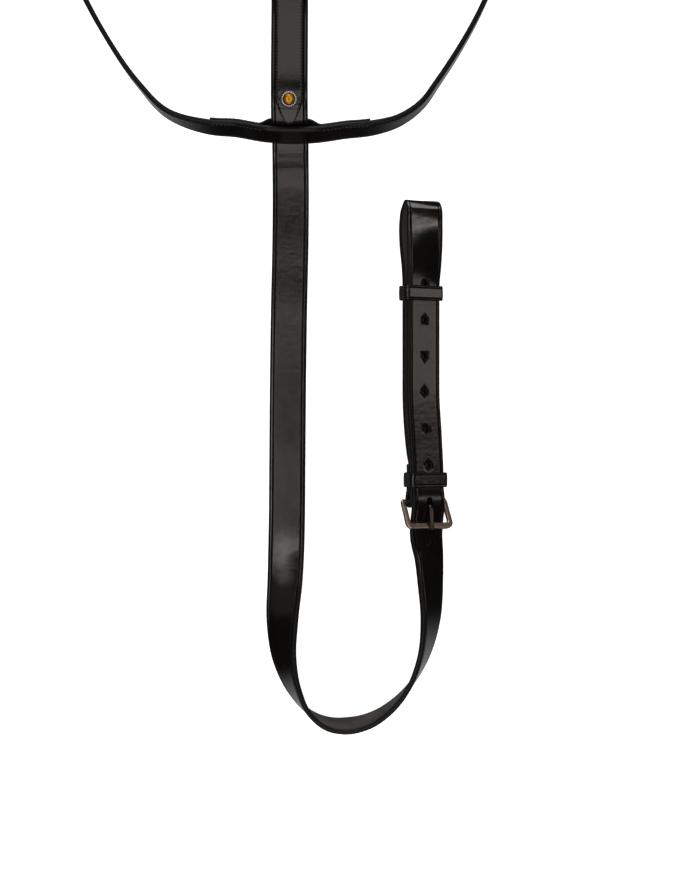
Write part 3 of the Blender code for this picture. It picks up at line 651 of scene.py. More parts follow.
def turned_profile(profile: Sequence[Point], steps: int) -> BMesh:
    """A solid of revolution about z.

    Args:
        profile: Points (radius, height) from the axis to the axis.
        steps: Steps round the axis.

    Returns:
        The closed solid.
    """
    bm = bmesh.new()
    verts = [bm.verts.new((r, 0, z)) for r, z in profile]
    for pair in zip(verts, verts[1:]):
        bm.edges.new(pair)
    spin_round(bm, (0, 0, 1), steps)
    return bm


def rod(radius: float, length: float, steps: int = 32) -> BMesh:
    """A cylinder along x.

    Args:
        radius: Its radius.
        length: Its length.
        steps: Steps round it.

    Returns:
        The cylinder.
    """
    bm = bmesh.new()
    bmesh.ops.create_cone(
        bm, cap_ends=True, segments=steps, radius1=radius, radius2=radius, depth=length,
        matrix=Matrix.Rotation(math.pi / 2, 4, "Y"),
    )
    return bm


def block(size: Sequence[float], rounding: float) -> BMesh:
    """A box whose upright edges are rounded, for cutting a slot.

    Args:
        size: Its size in x, y and z.
        rounding: Radius of its upright edges.

    Returns:
        The box.
    """
    bm = bmesh.new()
    bmesh.ops.create_cube(bm, size=1.0)
    bmesh.ops.scale(bm, vec=size, verts=bm.verts)
    upright = [e for e in bm.edges if abs(e.verts[0].co.z - e.verts[1].co.z) > size[2] / 2]
    bmesh.ops.bevel(bm, geom=upright, offset=rounding, segments=4, profile=0.5, affect="EDGES", material=-1)
    return bm


def outward(bm: BMesh) -> BMesh:
    """Turns every face of a closed mesh outwards.

    Args:
        bm: The mesh.

    Returns:
        The same mesh.
    """
    bm.normal_update()
    bmesh.ops.recalc_face_normals(bm, faces=bm.faces)
    if bm.calc_volume(signed=True) < 0:
        bmesh.ops.reverse_faces(bm, faces=bm.faces)
    return bm


def stored(bm: BMesh, name: str) -> bpy.types.Mesh:
    """Turns a mesh outwards and stores it under a name.

    Args:
        bm: The mesh, which is used up.
        name: Its name.

    Returns:
        The stored mesh.
    """
    mesh = bpy.data.meshes.new(name)
    outward(bm).to_mesh(mesh)
    bm.free()
    return mesh


def new_object(name: str, data: bpy.types.ID) -> bpy.types.Object:
    """A new object in the scene.

    Args:
        name: Its name.
        data: What it shows: a mesh, a light or a camera.

    Returns:
        The object.
    """
    made = bpy.data.objects.new(name, data)
    bpy.context.scene.collection.objects.link(made)
    return made


def gather(parts: Iterable[BMesh]) -> BMesh:
    """Puts several meshes that don't touch into one.

    Args:
        parts: The meshes, which are used up.

    Returns:
        The whole.
    """
    whole = bmesh.new()
    for part in parts:
        mesh = stored(part, "part")
        whole.from_mesh(mesh)
        bpy.data.meshes.remove(mesh)
    return whole


def combine(bm: BMesh, tool: BMesh, operation: str, zone: Zone = Zone.GRAIN) -> BMesh:
    """Cuts a tool out of a mesh or joins it on, and gives the new faces a zone.

    Args:
        bm: The mesh, which is used up.
        tool: The tool, which is used up.
        operation: DIFFERENCE or UNION.
        zone: Zone of the faces that come from the tool.

    Returns:
        The result.
    """
    for face in tool.faces:
        face.material_index = zone.value
    holders = []
    for name, part in (("work", bm), ("tool", tool)):
        mesh = stored(part, name)
        for each in Zone:
            mesh.materials.append(bpy.data.materials.get(each.name) or bpy.data.materials.new(each.name))
        holders.append(new_object(name, mesh))
    work, cutter = holders
    modifier = work.modifiers.new("combine", "BOOLEAN")
    modifier.operation, modifier.object, modifier.solver = operation, cutter, "EXACT"
    result = bpy.data.meshes.new_from_object(work.evaluated_get(bpy.context.evaluated_depsgraph_get()))
    made = bmesh.new()
    made.from_mesh(result)
    bpy.data.meshes.remove(result)
    for holder in holders:
        mesh = holder.data
        bpy.data.objects.remove(holder)
        bpy.data.meshes.remove(mesh)
    return made


def add(
    name: str, bm: BMesh, finishes: Sequence[Material], body: str, node: str | None = None
) -> None:
    """Finishes a piece: moves it from the plan to its place in the frame and hands it to a body.

    Args:
        name: Name of the piece.
        bm: Its mesh in the plan, which is used up.
        finishes: Materials in the order of the zones.
        body: Body that it rides on.
        node: CAD node that it stands for.
    """
    outward(bm)
    bm.transform(Matrix.Scale(MM, 4) @ Matrix.Translation(-PLAN_ORIGIN))
    mesh = bpy.data.meshes.new(name)
    for face in bm.faces:
        face.smooth = True
        face.material_index = min(face.material_index, len(finishes) - 1)
    bm.to_mesh(mesh)
    bm.free()
    for finish in finishes:
        mesh.materials.append(finish)
    mesh.set_sharp_from_angle(angle=SHARP_ANGLE)
    piece = new_object(name, mesh)
    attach(piece, body)
    if node:
        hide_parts(node)
    log.info("%s: %d faces on %s", name, len(mesh.polygons), body)


@dataclass
class Seam:
    """Saddle stitches of waxed thread, each a short leaning grain half sunk in the leather."""

    pitch: float = 3.1
    length: float = 2.5
    thread: float = 0.42
    lean: float = 9.0
    raised: float = 0.15
    flatness: float = 0.8
    bm: BMesh = field(default_factory=bmesh.new)

    def sew(
        self, route: Route, line: Sequence[Point], rest: float, bowed: Callable[[float], float] | None = None
    ) -> None:
        """Sews along a line on a strap.

        Args:
            route: Route of the strap.
            line: Corners of the line, as distances along and across.
            rest: Height of the surface above the middle of the strap.
            bowed: How far more the surface stands off at a distance.
        """
        for (s, across), (to_s, to_across) in zip(line, line[1:]):
            length = math.hypot(to_s - s, to_across - across)
            count = max(round(length / self.pitch), 1)
            heading = math.atan2(to_across - across, to_s - s) + math.radians(self.lean)
            for k in range(count):
                f = (k + 0.5) / count
                at_s = lerp(s, to_s, f)
                along, side, out = route.axes(at_s)
                facing = along * math.cos(heading) + side * math.sin(heading)
                height = rest + self.thread * self.raised + (bowed(at_s) if bowed else 0.0)
                place = route.place(at_s, lerp(across, to_across, f), height)
                sizes = Matrix.Diagonal((self.length / 2, self.thread, self.thread * self.flatness, 1.0))
                grain = posed(facing, out.cross(facing), out, place) @ sizes
                bmesh.ops.create_uvsphere(self.bm, u_segments=6, v_segments=4, radius=1.0, matrix=grain)

    def close_fold(self, route: Route, inset: float, rest: float, start: float = 2.0) -> None:
        """Sews a row along both sides of a folded end.

        Args:
            route: Route of the strap.
            inset: Distance of each row from the middle.
            rest: Height of the surface above the middle of the strap.
            start: Distance from the turn to the first stitch.
        """
        for across in (-inset, inset):
            self.sew(route, [(route.marks[-2] + start, across), (route.marks[-1] - 2.0, across)], rest)


# Finishes


def linear(colour: str) -> tuple[float, float, float, float]:
    """Linear colour from an sRGB hex value."""
    channels = [int(colour[i : i + 2], 16) / 255 for i in (1, 3, 5)]
    return (*[c / 12.92 if c <= 0.04045 else ((c + 0.055) / 1.055) ** 2.4 for c in channels], 1.0)


def put(
    owner: Material | bpy.types.World, kind: str, settings: dict | None = None, links: dict | None = None
) -> bpy.types.Node:
    """Adds a node with its settings and links.

    Args:
        owner: Material or world whose tree it joins.
        kind: The node's type, without its first word ShaderNode.
        settings: Values by the node's own property name, or else by input name or number.
        links: Output sockets by input name or number.

    Returns:
        The new node.
    """
    made = owner.node_tree.nodes.new("ShaderNode" + kind)
    for name, value in (settings or {}).items():
        if isinstance(name, str) and hasattr(made, name):
            setattr(made, name, value)
        else:
            made.inputs[name].default_value = value
    for name, source in (links or {}).items():
        owner.node_tree.links.new(source, made.inputs[name])
    return made


def start_material(name: str, sockets: dict) -> tuple[Material, Socket]:
    """A material whose shader has the given values.

    Args:
        name: Name of the finish.
        sockets: Values by the shader's input names.

    Returns:
        The material and the socket of its object coordinates.
    """
    material = bpy.data.materials.new(name)
    material.use_nodes = True
    for socket, value in sockets.items():
        material.node_tree.nodes["Principled BSDF"].inputs[socket].default_value = value
    return material, put(material, "TexCoord").outputs["Object"]


def complete(material: Material, sockets: dict, reliefs: Sequence[Relief]) -> Material:
    """Links the patterns of a material to its shader, the bumps one over another.

    Args:
        material: The material.
        sockets: Output sockets by the shader's input names.
        reliefs: Height, strength and distance of each bump, the lowest first.

    Returns:
        The same material.
    """
    under = {}
    for height, strength, distance in reliefs:
        links = {"Height": height, **under}
        bump = put(material, "Bump", {"Strength": strength, "Distance": distance}, links)
        under = {"Normal": bump.outputs[0]}
    shader = material.node_tree.nodes["Principled BSDF"]
    for socket, source in {**sockets, **under}.items():
        material.node_tree.links.new(source, shader.inputs[socket])
    return material


@dataclass(frozen=True)
class Finish:
    """A surface whose colour and roughness each go between two values as its patterns do."""

    name: str
    dark: str
    light: str
    roughness: Point
    depth: float
    span: Point = (0.0, 1.0)

    def blend(self, material: Material, share: Socket, grain: Socket) -> dict:
        """Mixes the two colours and the two roughnesses.

        Args:
            material: The material.
            share: Pattern that the colour follows.
            grain: Pattern that the roughness follows.

        Returns:
            Output sockets by the shader's input names.
        """
        colours = {"data_type": "RGBA", 6: linear(self.dark), 7: linear(self.light)}
        colour = put(material, "Mix", colours, {0: share})
        (start, end), (low, high) = self.span, self.roughness
        rough = put(material, "MapRange", {1: start, 2: end, 3: low, 4: high}, {0: grain})
        return {"Base Color": colour.outputs[2], "Roughness": rough.outputs[0]}


@dataclass(frozen=True)
class BridleLeather(Finish):
    """Vegetable-tanned cowhide, drum-dyed black, stuffed with wax and glazed by hand.

    The wax gives a gloss that swells and fades as the strap undulates, with faint clouds in it. The
    creased line is painted almost black, as painted shade in its groove; the strip outside it gets a
    raised specular level, so that bright highlight lines show along it. Fine wrinkles lie across the
    strap. The pores are about 0.3 mm apart in the real hide and are drawn at 0.8 mm so that they show.
    """

    name: str = "black_bridle_leather"
    dark: str = "#050404"
    light: str = "#0b0a09"
    roughness: Point = (0.14, 0.18)
    depth: float = 0.00004
    span: Point = (0.3, 0.7)
    # Colour that the creased line is darkened toward: painted shade in its groove.
    creased: str = "#040303"
    sheen: str = "#fffaf6"
    crease_in: float = 0.0028
    pore: float = 0.0008
    cloud: float = 0.016
    wave: float = 0.075
    wrinkle: float = 0.0022
    shine: float = 0.55
    cloud_depth: float = 0.0003
    wave_depth: float = 0.0022
    wrinkle_depth: float = 0.00012
    # Levels by distance in from the edge, as shares of twice crease_in. Under 1 the colour goes toward the
    # crease colour, painted shade in the creased line; the shine follows the level, above 1 for highlight
    # lines on the strip.
    border: tuple[Point, ...] = (
        (0.0, 1.1), (0.12, 1.0), (0.2, 0.75), (0.27, 0.8), (0.31, 1.3), (0.38, 1.3), (0.45, 0.12),
        (0.54, 0.12), (0.59, 1.0),
    )
    face_level: float = 0.92

    def make(self) -> Material:
        """The material with its nodes.

        Returns:
            The material.
        """
        material, place = start_material(
            self.name, {"IOR": 1.5, "Specular Tint": linear(self.sheen), "Specular IOR Level": self.shine}
        )
        sizes = {"Scale": 1 / self.cloud, "Detail": 3.0, "Roughness": 0.55}
        clouds = put(material, "TexNoise", sizes, {"Vector": place}).outputs["Fac"]
        sizes = {"Scale": 2.6 / self.cloud, "Detail": 2.0}
        streaks = put(material, "TexNoise", sizes, {"Vector": place}).outputs["Fac"]
        cells = {"feature": "DISTANCE_TO_EDGE", "Scale": 1 / self.pore}
        pores = put(material, "TexVoronoi", cells, {"Vector": place})
        flat = put(material, "MapRange", {1: 0.0, 2: 0.25}, {0: pores.outputs["Distance"]})
        sockets = self.blend(material, clouds, streaks)
        reliefs = [(flat.outputs[0], 0.12, self.depth), (streaks, 0.25, self.cloud_depth)]
        if self.crease_in:
            sockets.update(self.draw_border(material, sockets["Base Color"]))
            reliefs += self.draw_waves(material)
        return complete(material, sockets, reliefs)

    def draw_border(self, material: Material, colour: Socket) -> dict:
        """Paints shade into the creased line and raises the shine of the strip outside it, for its highlight
        lines.

        Args:
            material: The material.
            colour: Socket of the face's colour.

        Returns:
            Sockets of the colour and the shine by the shader's input names.
        """
        border = put(material, "UVMap", {"uv_map": "border"}).outputs["UV"]
        inward = put(material, "SeparateXYZ", links={0: border}).outputs["X"]
        share = put(material, "Math", {"operation": "DIVIDE", 1: 2 * self.crease_in}, {0: inward})
        across = put(material, "ValToRGB", links={0: share.outputs[0]})
        ramp = across.color_ramp
        for stop, level in self.border:
            ramp.elements.new(stop).color = (level, level, level, 1.0)
        ramp.elements.remove(ramp.elements[0])
        ramp.elements[-1].color = (self.face_level, self.face_level, self.face_level, 1.0)
        level = across.outputs["Color"]
        # Levels under 1 darken the colour toward the crease colour as painted shade, and the shine is scaled
        # by the same levels.
        crease_shaded_colour = put(material, "Mix", {"data_type": "RGBA", 6: linear(self.creased)}, {0: level, 7: colour})
        shine = put(material, "Math", {"operation": "MULTIPLY", 1: self.shine}, {0: level})
        return {"Base Color": crease_shaded_colour.outputs[2], "Specular IOR Level": shine.outputs[0]}

    def draw_waves(self, material: Material) -> list[Relief]:
        """Bumps of the strap's undulation and of the wrinkles, both drawn out across the strap.

        Args:
            material: The material.

        Returns:
            The two reliefs, the waves first.
        """
        strap = put(material, "UVMap", {"uv_map": "strap"}).outputs["UV"]
        along = put(material, "Mapping", {"Scale": (1.0, 0.15, 1.0)}, {"Vector": strap}).outputs[0]
        waves = put(material, "TexNoise", {"Scale": 1 / self.wave, "Detail": 1.0}, {"Vector": along})
        drawn = put(material, "Mapping", {"Scale": (1.0, 0.16, 1.0)}, {"Vector": strap}).outputs[0]
        sizes = {"Scale": 1 / self.wrinkle, "Detail": 2.0, "Distortion": 0.6}
        wrinkles = put(material, "TexNoise", sizes, {"Vector": drawn})
        return [
            (waves.outputs["Fac"], 0.8, self.wave_depth), (wrinkles.outputs["Fac"], 0.3, self.wrinkle_depth)
        ]


@dataclass(frozen=True)
class BurnishedEdge(Finish):
    """Cut edge of the hide, dyed black, waxed and rubbed: darker than the face, with a soft gloss."""

    name: str = "burnished_leather_edge"
    dark: str = "#070606"
    light: str = "#12100f"
    roughness: Point = (0.24, 0.4)
    depth: float = 0.0002
    fibre: float = 0.0022
    shine: float = 0.14

    def make(self) -> Material:
        """The material with its nodes.

        Returns:
            The material.
        """
        material, place = start_material(self.name, {"IOR": 1.5, "Specular IOR Level": self.shine})
        sizes = {"Scale": 1 / self.fibre, "Detail": 4.0, "Roughness": 0.6}
        fibres = put(material, "TexNoise", sizes, {"Vector": place}).outputs["Fac"]
        return complete(material, self.blend(material, fibres, fibres), [(fibres, 0.3, self.depth)])


@dataclass(frozen=True)
class FleshSide(Finish):
    """Back of the hide, dyed black and slicked with tallow: dull, with short fibres that lie every way.

    Fibre bundles are about 0.1 mm wide and are drawn at 0.9 mm so that they show.
    """

    name: str = "flesh_side_leather"
    dark: str = "#1c1918"
    light: str = "#3b3633"
    roughness: Point = (0.6, 0.85)
    depth: float = 0.0003
    fibre: float = 0.0009
    patch: float = 1 / 70
    shine: float = 0.35

    def make(self) -> Material:
        """The material with its nodes.

        Returns:
            The material.
        """
        material, place = start_material(self.name, {"IOR": 1.5, "Specular IOR Level": self.shine})
        sizes = {"Scale": 1 / self.fibre, "Detail": 5.0, "Roughness": 0.7, "Distortion": 1.2}
        fibres = put(material, "TexNoise", sizes, {"Vector": place}).outputs["Fac"]
        patches = put(material, "TexNoise", {"Scale": 1 / self.patch, "Detail": 2.0}, {"Vector": place})
        both = put(material, "Math", {"operation": "MULTIPLY"}, {0: fibres, 1: patches.outputs["Fac"]})
        share = put(material, "MapRange", {1: 0.12, 2: 0.42}, {0: both.outputs[0]}).outputs[0]
        return complete(material, self.blend(material, share, fibres), [(fibres, 0.45, self.depth)])


@dataclass(frozen=True)
class WaxedThread(Finish):
    """Linen thread, twisted from several cords and run through black wax: dark, with small ribs that glint.

    The real lay is 0.25 mm and is drawn at 0.5 mm so that it shows.
    """

    name: str = "waxed_linen_thread"
    dark: str = "#0b0a09"
    light: str = "#26221f"
    roughness: Point = (0.38, 0.6)
    depth: float = 0.0001
    lay: float = 0.0005

    def make(self) -> Material:
        """The material with its nodes.

        Returns:
            The material.
        """
        material, place = start_material(self.name, {"IOR": 1.5, "Coat Weight": 0.2, "Coat Roughness": 0.3})
        twist = {"bands_direction": "DIAGONAL", "Scale": 0.35 / self.lay, "Distortion": 1.5}
        ribs = put(material, "TexWave", twist, {"Vector": place}).outputs["Fac"]
        return complete(material, self.blend(material, ribs, ribs), [(ribs, 0.4, self.depth)])


@dataclass(frozen=True)
class PlatedMetal(Finish):
    """Metal plated over a cast or turned blank and brushed, with hazy patches and fine scratches.

    The scratches are some hundredths of a millimetre apart and are drawn at 0.4 mm so that they show.
    """

    roughness: Point = (0.24, 0.36)
    depth: float = 0.0001
    span: Point = (0.3, 0.7)
    haze: float = 0.006
    scratch: float = 0.0004
    patina_and_shade_colour: str = ""

    def make(self) -> Material:
        """The material with its nodes.

        Returns:
            The material.
        """
        material, place = start_material(self.name, {"Metallic": 1.0})
        sizes = {"Scale": 1 / self.haze, "Detail": 3.0, "Roughness": 0.6}
        haze = put(material, "TexNoise", sizes, {"Vector": place}).outputs["Fac"]
        sockets = self.blend(material, haze, haze)
        # The relief map mixes in a darker colour: patina in the rosette's grooves, and painted shade at the
        # dome's edge by the rim.
        if self.patina_and_shade_colour:
            relief = put(material, "UVMap", {"uv_map": "relief"}).outputs["UV"]
            patina_and_shade_share = put(material, "SeparateXYZ", links={0: relief}).outputs["X"]
            links = {0: patina_and_shade_share, 6: sockets["Base Color"]}
            patinated_and_shaded = put(material, "Mix", {"data_type": "RGBA", 7: linear(self.patina_and_shade_colour)}, links)
            sockets["Base Color"] = patinated_and_shaded.outputs[2]
        drawn = put(material, "Mapping", {"Scale": (1.0, 0.06, 1.0)}, {"Vector": place}).outputs[0]
        lines = put(material, "TexNoise", {"Scale": 1 / self.scratch, "Detail": 2.0}, {"Vector": drawn})
        return complete(material, sockets, [(lines.outputs["Fac"], 0.012, self.depth)])


@dataclass(frozen=True)
class LitTable:
    """Matt white acrylic table with light coming through it, so that hardly a shadow shows.

    Its fine tooth only keeps the surface from looking like glass.
    """

    name: str = "white_lit_table"
    colour: str = "#fbfbfb"
    glow: float = 0.72
    tooth: float = 1 / 1500
    depth: float = 0.0001

    def make(self) -> Material:
        """The material with its nodes.

        Returns:
            The material.
        """
        material, place = start_material(
            self.name,
            {"Base Color": linear(self.colour), "Roughness": 0.9, "Specular IOR Level": 0.1,
             "Emission Color": linear(self.colour), "Emission Strength": self.glow},
        )
        tooth = put(material, "TexNoise", {"Scale": 1 / self.tooth, "Detail": 2.0}, {"Vector": place})
        return complete(material, {}, [(tooth.outputs["Fac"], 0.05, self.depth)])


class Finishes:
    """Every finish of the breastplate, made once."""

    def __init__(self) -> None:
        """Makes the materials."""
        self.edge, self.flesh = BurnishedEdge().make(), FleshSide().make()
        self.thread = [WaxedThread().make()]
        self.dark_thread = [WaxedThread("black_waxed_linen_thread", "#060505", "#1c1917").make()]
        self.body = self.hide(BridleLeather())
        self.narrow = self.hide(BridleLeather("black_bridle_leather_narrow", crease_in=0.0021, shine=0.42))
        # The tab's darker band along its stitch line is painted shade in the seam's groove; the shine is
        # raised beside it for highlight lines.
        self.tab = self.hide(BridleLeather(
            "black_bridle_leather_tab", crease_in=0.0013, shine=0.6,
            border=((0.0, 1.2), (0.18, 1.2), (0.26, 0.1), (0.62, 0.1), (0.72, 1.2), (0.85, 1.0)),
        ))
        self.keeper = self.hide(BridleLeather(
            "black_bridle_leather_keeper", crease_in=0.0016, shine=0.7, wrinkle_depth=0.00005
        ))
        self.lining = self.hide(BridleLeather(
            "black_lining_leather", light="#191412", crease_in=0.0, roughness=(0.55, 0.7), shine=0.4
        ))
        self.gunmetal = [PlatedMetal("gunmetal_plated_steel", "#9c8a7c", "#b8a698").make()]
        # A darker copy of the gunmetal, used for the buckle tongues.
        self.darker_steel = [PlatedMetal("blackened_steel", "#3a332e", "#5a5048").make()]
        self.nickel = [PlatedMetal("nickel_plated_brass", "#f0ede8", "#fbfaf6", (0.22, 0.36)).make()]
        self.oxidised = [PlatedMetal("oxidised_nickel", "#3b3632", "#5a534c", (0.3, 0.45)).make()]
        # The gold's darker colour is patina in its grooves and painted shade at its edge by the rim.
        patinated_and_shaded = {"haze": 0.002, "patina_and_shade_colour": "#7a4208"}
        self.gold = [PlatedMetal("gold_plated_brass", "#f2a41d", "#ffc040", (0.26, 0.36), **patinated_and_shaded).make()]

    def hide(self, leather: BridleLeather) -> list[Material]:
        """Materials of a piece cut from a hide, in the order of the zones."""
        return [leather.make(), self.edge, self.flesh, self.edge]


# The leather


@dataclass
class NeckStrap:
    """Neck strap on its edge in an oval, and the lining behind it that makes the tunnel at the chest."""

    buckle: Buckle
    width: float = 16.0
    thick: float = 3.5
    billet: float = 96.0
    point: float = 9.0
    tip: float = 0.22
    hole: float = 3.6
    hole_pitch: float = 19.0
    tongue_hole_s: float = -1.0
    other_holes: tuple[float, ...] = (-4.0, -3.0, -1.0, 1.6)
    chest_x: float = -41.6
    crossing_reach: float = 14.0
    shoulder: float = 510.0
    top: float = 663.0
    body_width: float = 25.4
    body_thick: float = 3.8
    lining_width: float = 13.4
    lining_thick: float = 2.0
    lining_reach: float = 57.0
    bulge: float = 3.2
    bulge_ease: float = 30.0
    tunnel_fit: float = 0.9
    tunnel_ease: float = 7.5
    tunnel_side: float = 0.9
    seam: float = 0.3
    row_at: float = 5.9

    def __post_init__(self) -> None:
        """Lays the route from the billet's point, round the oval, to the folded end."""
        bench, buckle = self.buckle.bench, self.buckle

        def on_bench(s: float, n: float, thick: float = self.thick) -> Stop:
            """Stop of the strap at the buckle."""
            return Stop(bench.at(s, n), -bench.side, thick)

        stops = [on_bench(-self.billet, buckle.front), on_bench(-self.billet / 2, buckle.front)]
        stops += [on_bench(s, n) for s, n in buckle.billet()]
        left, right = self.chest_x - self.crossing_reach, self.chest_x + self.crossing_reach
        free = [
            (-203.6, 352.0, 90, 3.6), (-192.0, 320.0, 90, 1.8), (-171.0, 279.0, 90, 0.4),
            (-147.1, 243.8, 88, 0.0), (-128.0, 224.0, 82, 0.0), (-98.8, 213.9, 65, 0.7),
            (-76.5, 212.3, 59, 2.2), (left, 210.3, 59, 6.6), (self.chest_x, 209.4, 59, 6.7),
            (right, 209.8, 59, 6.6), (-6.9, 210.9, 61, 2.4), (16.7, 213.3, 65, 0.7),
            (33.4, 218.1, 74, 0.2), (50.1, 229.9, 82, 0.0), (60.2, 243.8, 85, 0.0),
            (93.0, 300.0, 90, 0.0), (112.0, 355.0, 90, 0.0), (118.0, 430.0, 90, 0.0),
            (110.0, self.shoulder, 90, 0.0),
        ]
        arch = self.top - self.shoulder
        crown = (
            (80.0, 0.49, 0.0), (27.0, 0.85, 0.0), (-44.0, 1.0, 0.0), (-115.0, 0.85, 0.0),
            (-168.0, 0.49, 1.0), (-195.0, 0.144, 3.4),
        )
        free += [(x, self.shoulder + arch * share, 90, lift) for x, share, lift in crown]
        crossing = len(stops) + [place[0] for place in free].index(self.chest_x)
        stops += table_stops(free, self.width, self.thick)
        stops += [on_bench(-self.billet - 8, -buckle.front), on_bench(-self.billet, -buckle.front)]
        stops += [on_bench(s, n, thick) for s, n, thick in buckle.fold.line()]
        self.route = Route(stops)
        self.crossing_at = self.route.marks[crossing]

    def parted(self, s: float) -> float:
        """How far the tunnel's two layers part, from 1 over the body strap to 0 beside it."""
        away = abs(s - self.crossing_at) - self.body_width / 2 - self.tunnel_side
        return 1 - smooth(away / self.tunnel_ease)

    def bowed(self, s: float) -> float:
        """How far both layers bow out together over the body strap, in millimetres."""
        return self.bulge * (1 - smooth((abs(s - self.crossing_at) - self.crossing_reach) / self.bulge_ease))

    def build_strap(self) -> BMesh:
        """The strap with its point, its tunnel bulge, its holes and the tongue's slots.

        Returns:
            The mesh in the plan.
        """

        def shape(s: float, across: float, above: float) -> Point:
            """Rounds the billet's point and bulges over the body strap.

            Args:
                s: Distance along the route.
                across: Distance across the strap.
                above: Height above its middle.

            Returns:
                The two values that take the place of across and above.
            """
            above += self.bowed(s)
            if s < self.point:
                across *= lerp(self.tip, 1.0, rounding(s / self.point))
            return across, above

        stations = self.route.stations(0.0, self.route.end, longest=4.0, turn=4.0)
        stations = sorted(set(stations) | {self.point * share for share in (0.03, 0.1, 0.2, 0.35, 0.55, 0.8)})
        bm = lay(self.route, Section(self.width, self.thick, **NARROW_EDGES), stations, shape)
        tongue_hole = self.billet - self.tongue_hole_s
        places = [tongue_hole + pitches * self.hole_pitch for pitches in self.other_holes]
        cutters = [punch(self.route, s, self.hole, self.thick) for s in places]
        return combine(bm, gather(cutters + slots(self.buckle)), "DIFFERENCE", Zone.CUT)

    def build_lining(self) -> BMesh:
        """The layer sewn behind the neck strap, standing off behind the body strap.

        Returns:
            The mesh in the plan.
        """
        stand_off = self.body_thick + 2 * self.tunnel_fit - self.seam
        rest = self.thick / 2 + self.seam + self.lining_thick / 2

        def shape(s: float, across: float, above: float) -> Point:
            """Sets the layer behind the strap and eases it back round the body strap."""
            return across, above - rest + self.bowed(s) - stand_off * self.parted(s)

        start, end = self.crossing_at - self.lining_reach, self.crossing_at + self.lining_reach
        stations = self.route.stations(start, end, longest=1.5, turn=3.0)
        section = Section(self.lining_width, self.lining_thick, edge_round=0.6, crease_in=0.0)
        return lay(self.route, section, stations, shape)

    def build_stitches(self) -> BMesh:
        """Two rows on each side of the tunnel, front and back, and the rows that hold the folded end.

        Returns:
            The thread.
        """
        seam = Seam(**NARROW_STITCH)
        behind = -(self.thick / 2 + self.seam + self.lining_thick)
        near = self.body_width / 2 + self.tunnel_side + self.tunnel_ease
        for way in (-1, 1):
            for across in (-self.row_at, self.row_at):
                for rest, start in ((self.thick / 2, near - 3.5), (behind - 0.05, near)):
                    ends = sorted(self.crossing_at + way * end for end in (start, self.lining_reach - 1.5))
                    seam.sew(self.route, [(s, across) for s in ends], rest, self.bowed)
        seam.close_fold(self.route, self.row_at, self.buckle.ply / 2)
        return seam.bm

    def dress(self, finishes: Finishes) -> None:
        """Adds the strap, the lining and their thread.

        Args:
            finishes: Every finish of the breastplate.
        """
        add("neck_strap_leather", self.build_strap(), finishes.narrow, STRAPS, "neck_strap")
        add("tunnel_lining", self.build_lining(), finishes.lining, STRAPS, "crossing_loop")
        add("neck_strap_stitches", self.build_stitches(), finishes.thread, STRAPS)


def punch(route: Route, s: float, diameter: float, thick: float, gap: float = 0.8) -> BMesh:
    """Cutter for a punched hole with a worn rim. It stops between the strap and the layer behind it.

    Args:
        route: Route of the strap.
        s: Distance of the hole.
        diameter: Diameter of the hole.
        thick: Thickness of the strap.
        gap: Space to the layer behind.

    Returns:
        The cutter in the plan.
    """
    top, radius = thick / 2, diameter / 2
    bm = turned_profile(
        [
            (0, -top - gap / 2), (radius, -top - gap / 2), (radius, top - 0.75), (radius + 0.1, top - 0.4),
            (radius + 0.38, top - 0.08), (radius + 0.7, top + 0.04), (radius + 0.7, top + 1.5),
            (0, top + 1.5),
        ],
        28,
    )
    bm.transform(route.standing(s))
    return bm


def slots(buckle: Buckle) -> list[BMesh]:
    """Cutters for the tongue: one through both plies of the fold, one through the billet over it.

    Args:
        buckle: The buckle whose tongue goes through.

    Returns:
        The cutters in the plan.
    """
    fold, bench = buckle.fold, buckle.bench
    width = buckle.tongue_width + 2 * buckle.fit + 0.3
    middle = (fold.top + buckle.over - buckle.thick / 2) / 2
    spans = (
        (-1.9 * fold.radius, 1.7 * fold.radius, fold.bottom - 1.0, middle - 0.02),
        (-3.2 * fold.radius / 3.1, 4.9 * fold.radius / 3.1, middle + 0.02, buckle.over + buckle.thick),
    )
    made = []
    for start, end, low, high in spans:
        bm = block((width, end - start, high - low), width * 0.42)
        bm.transform(bench.turned((start + end) / 2, (low + high) / 2))
        made.append(bm)
    return made


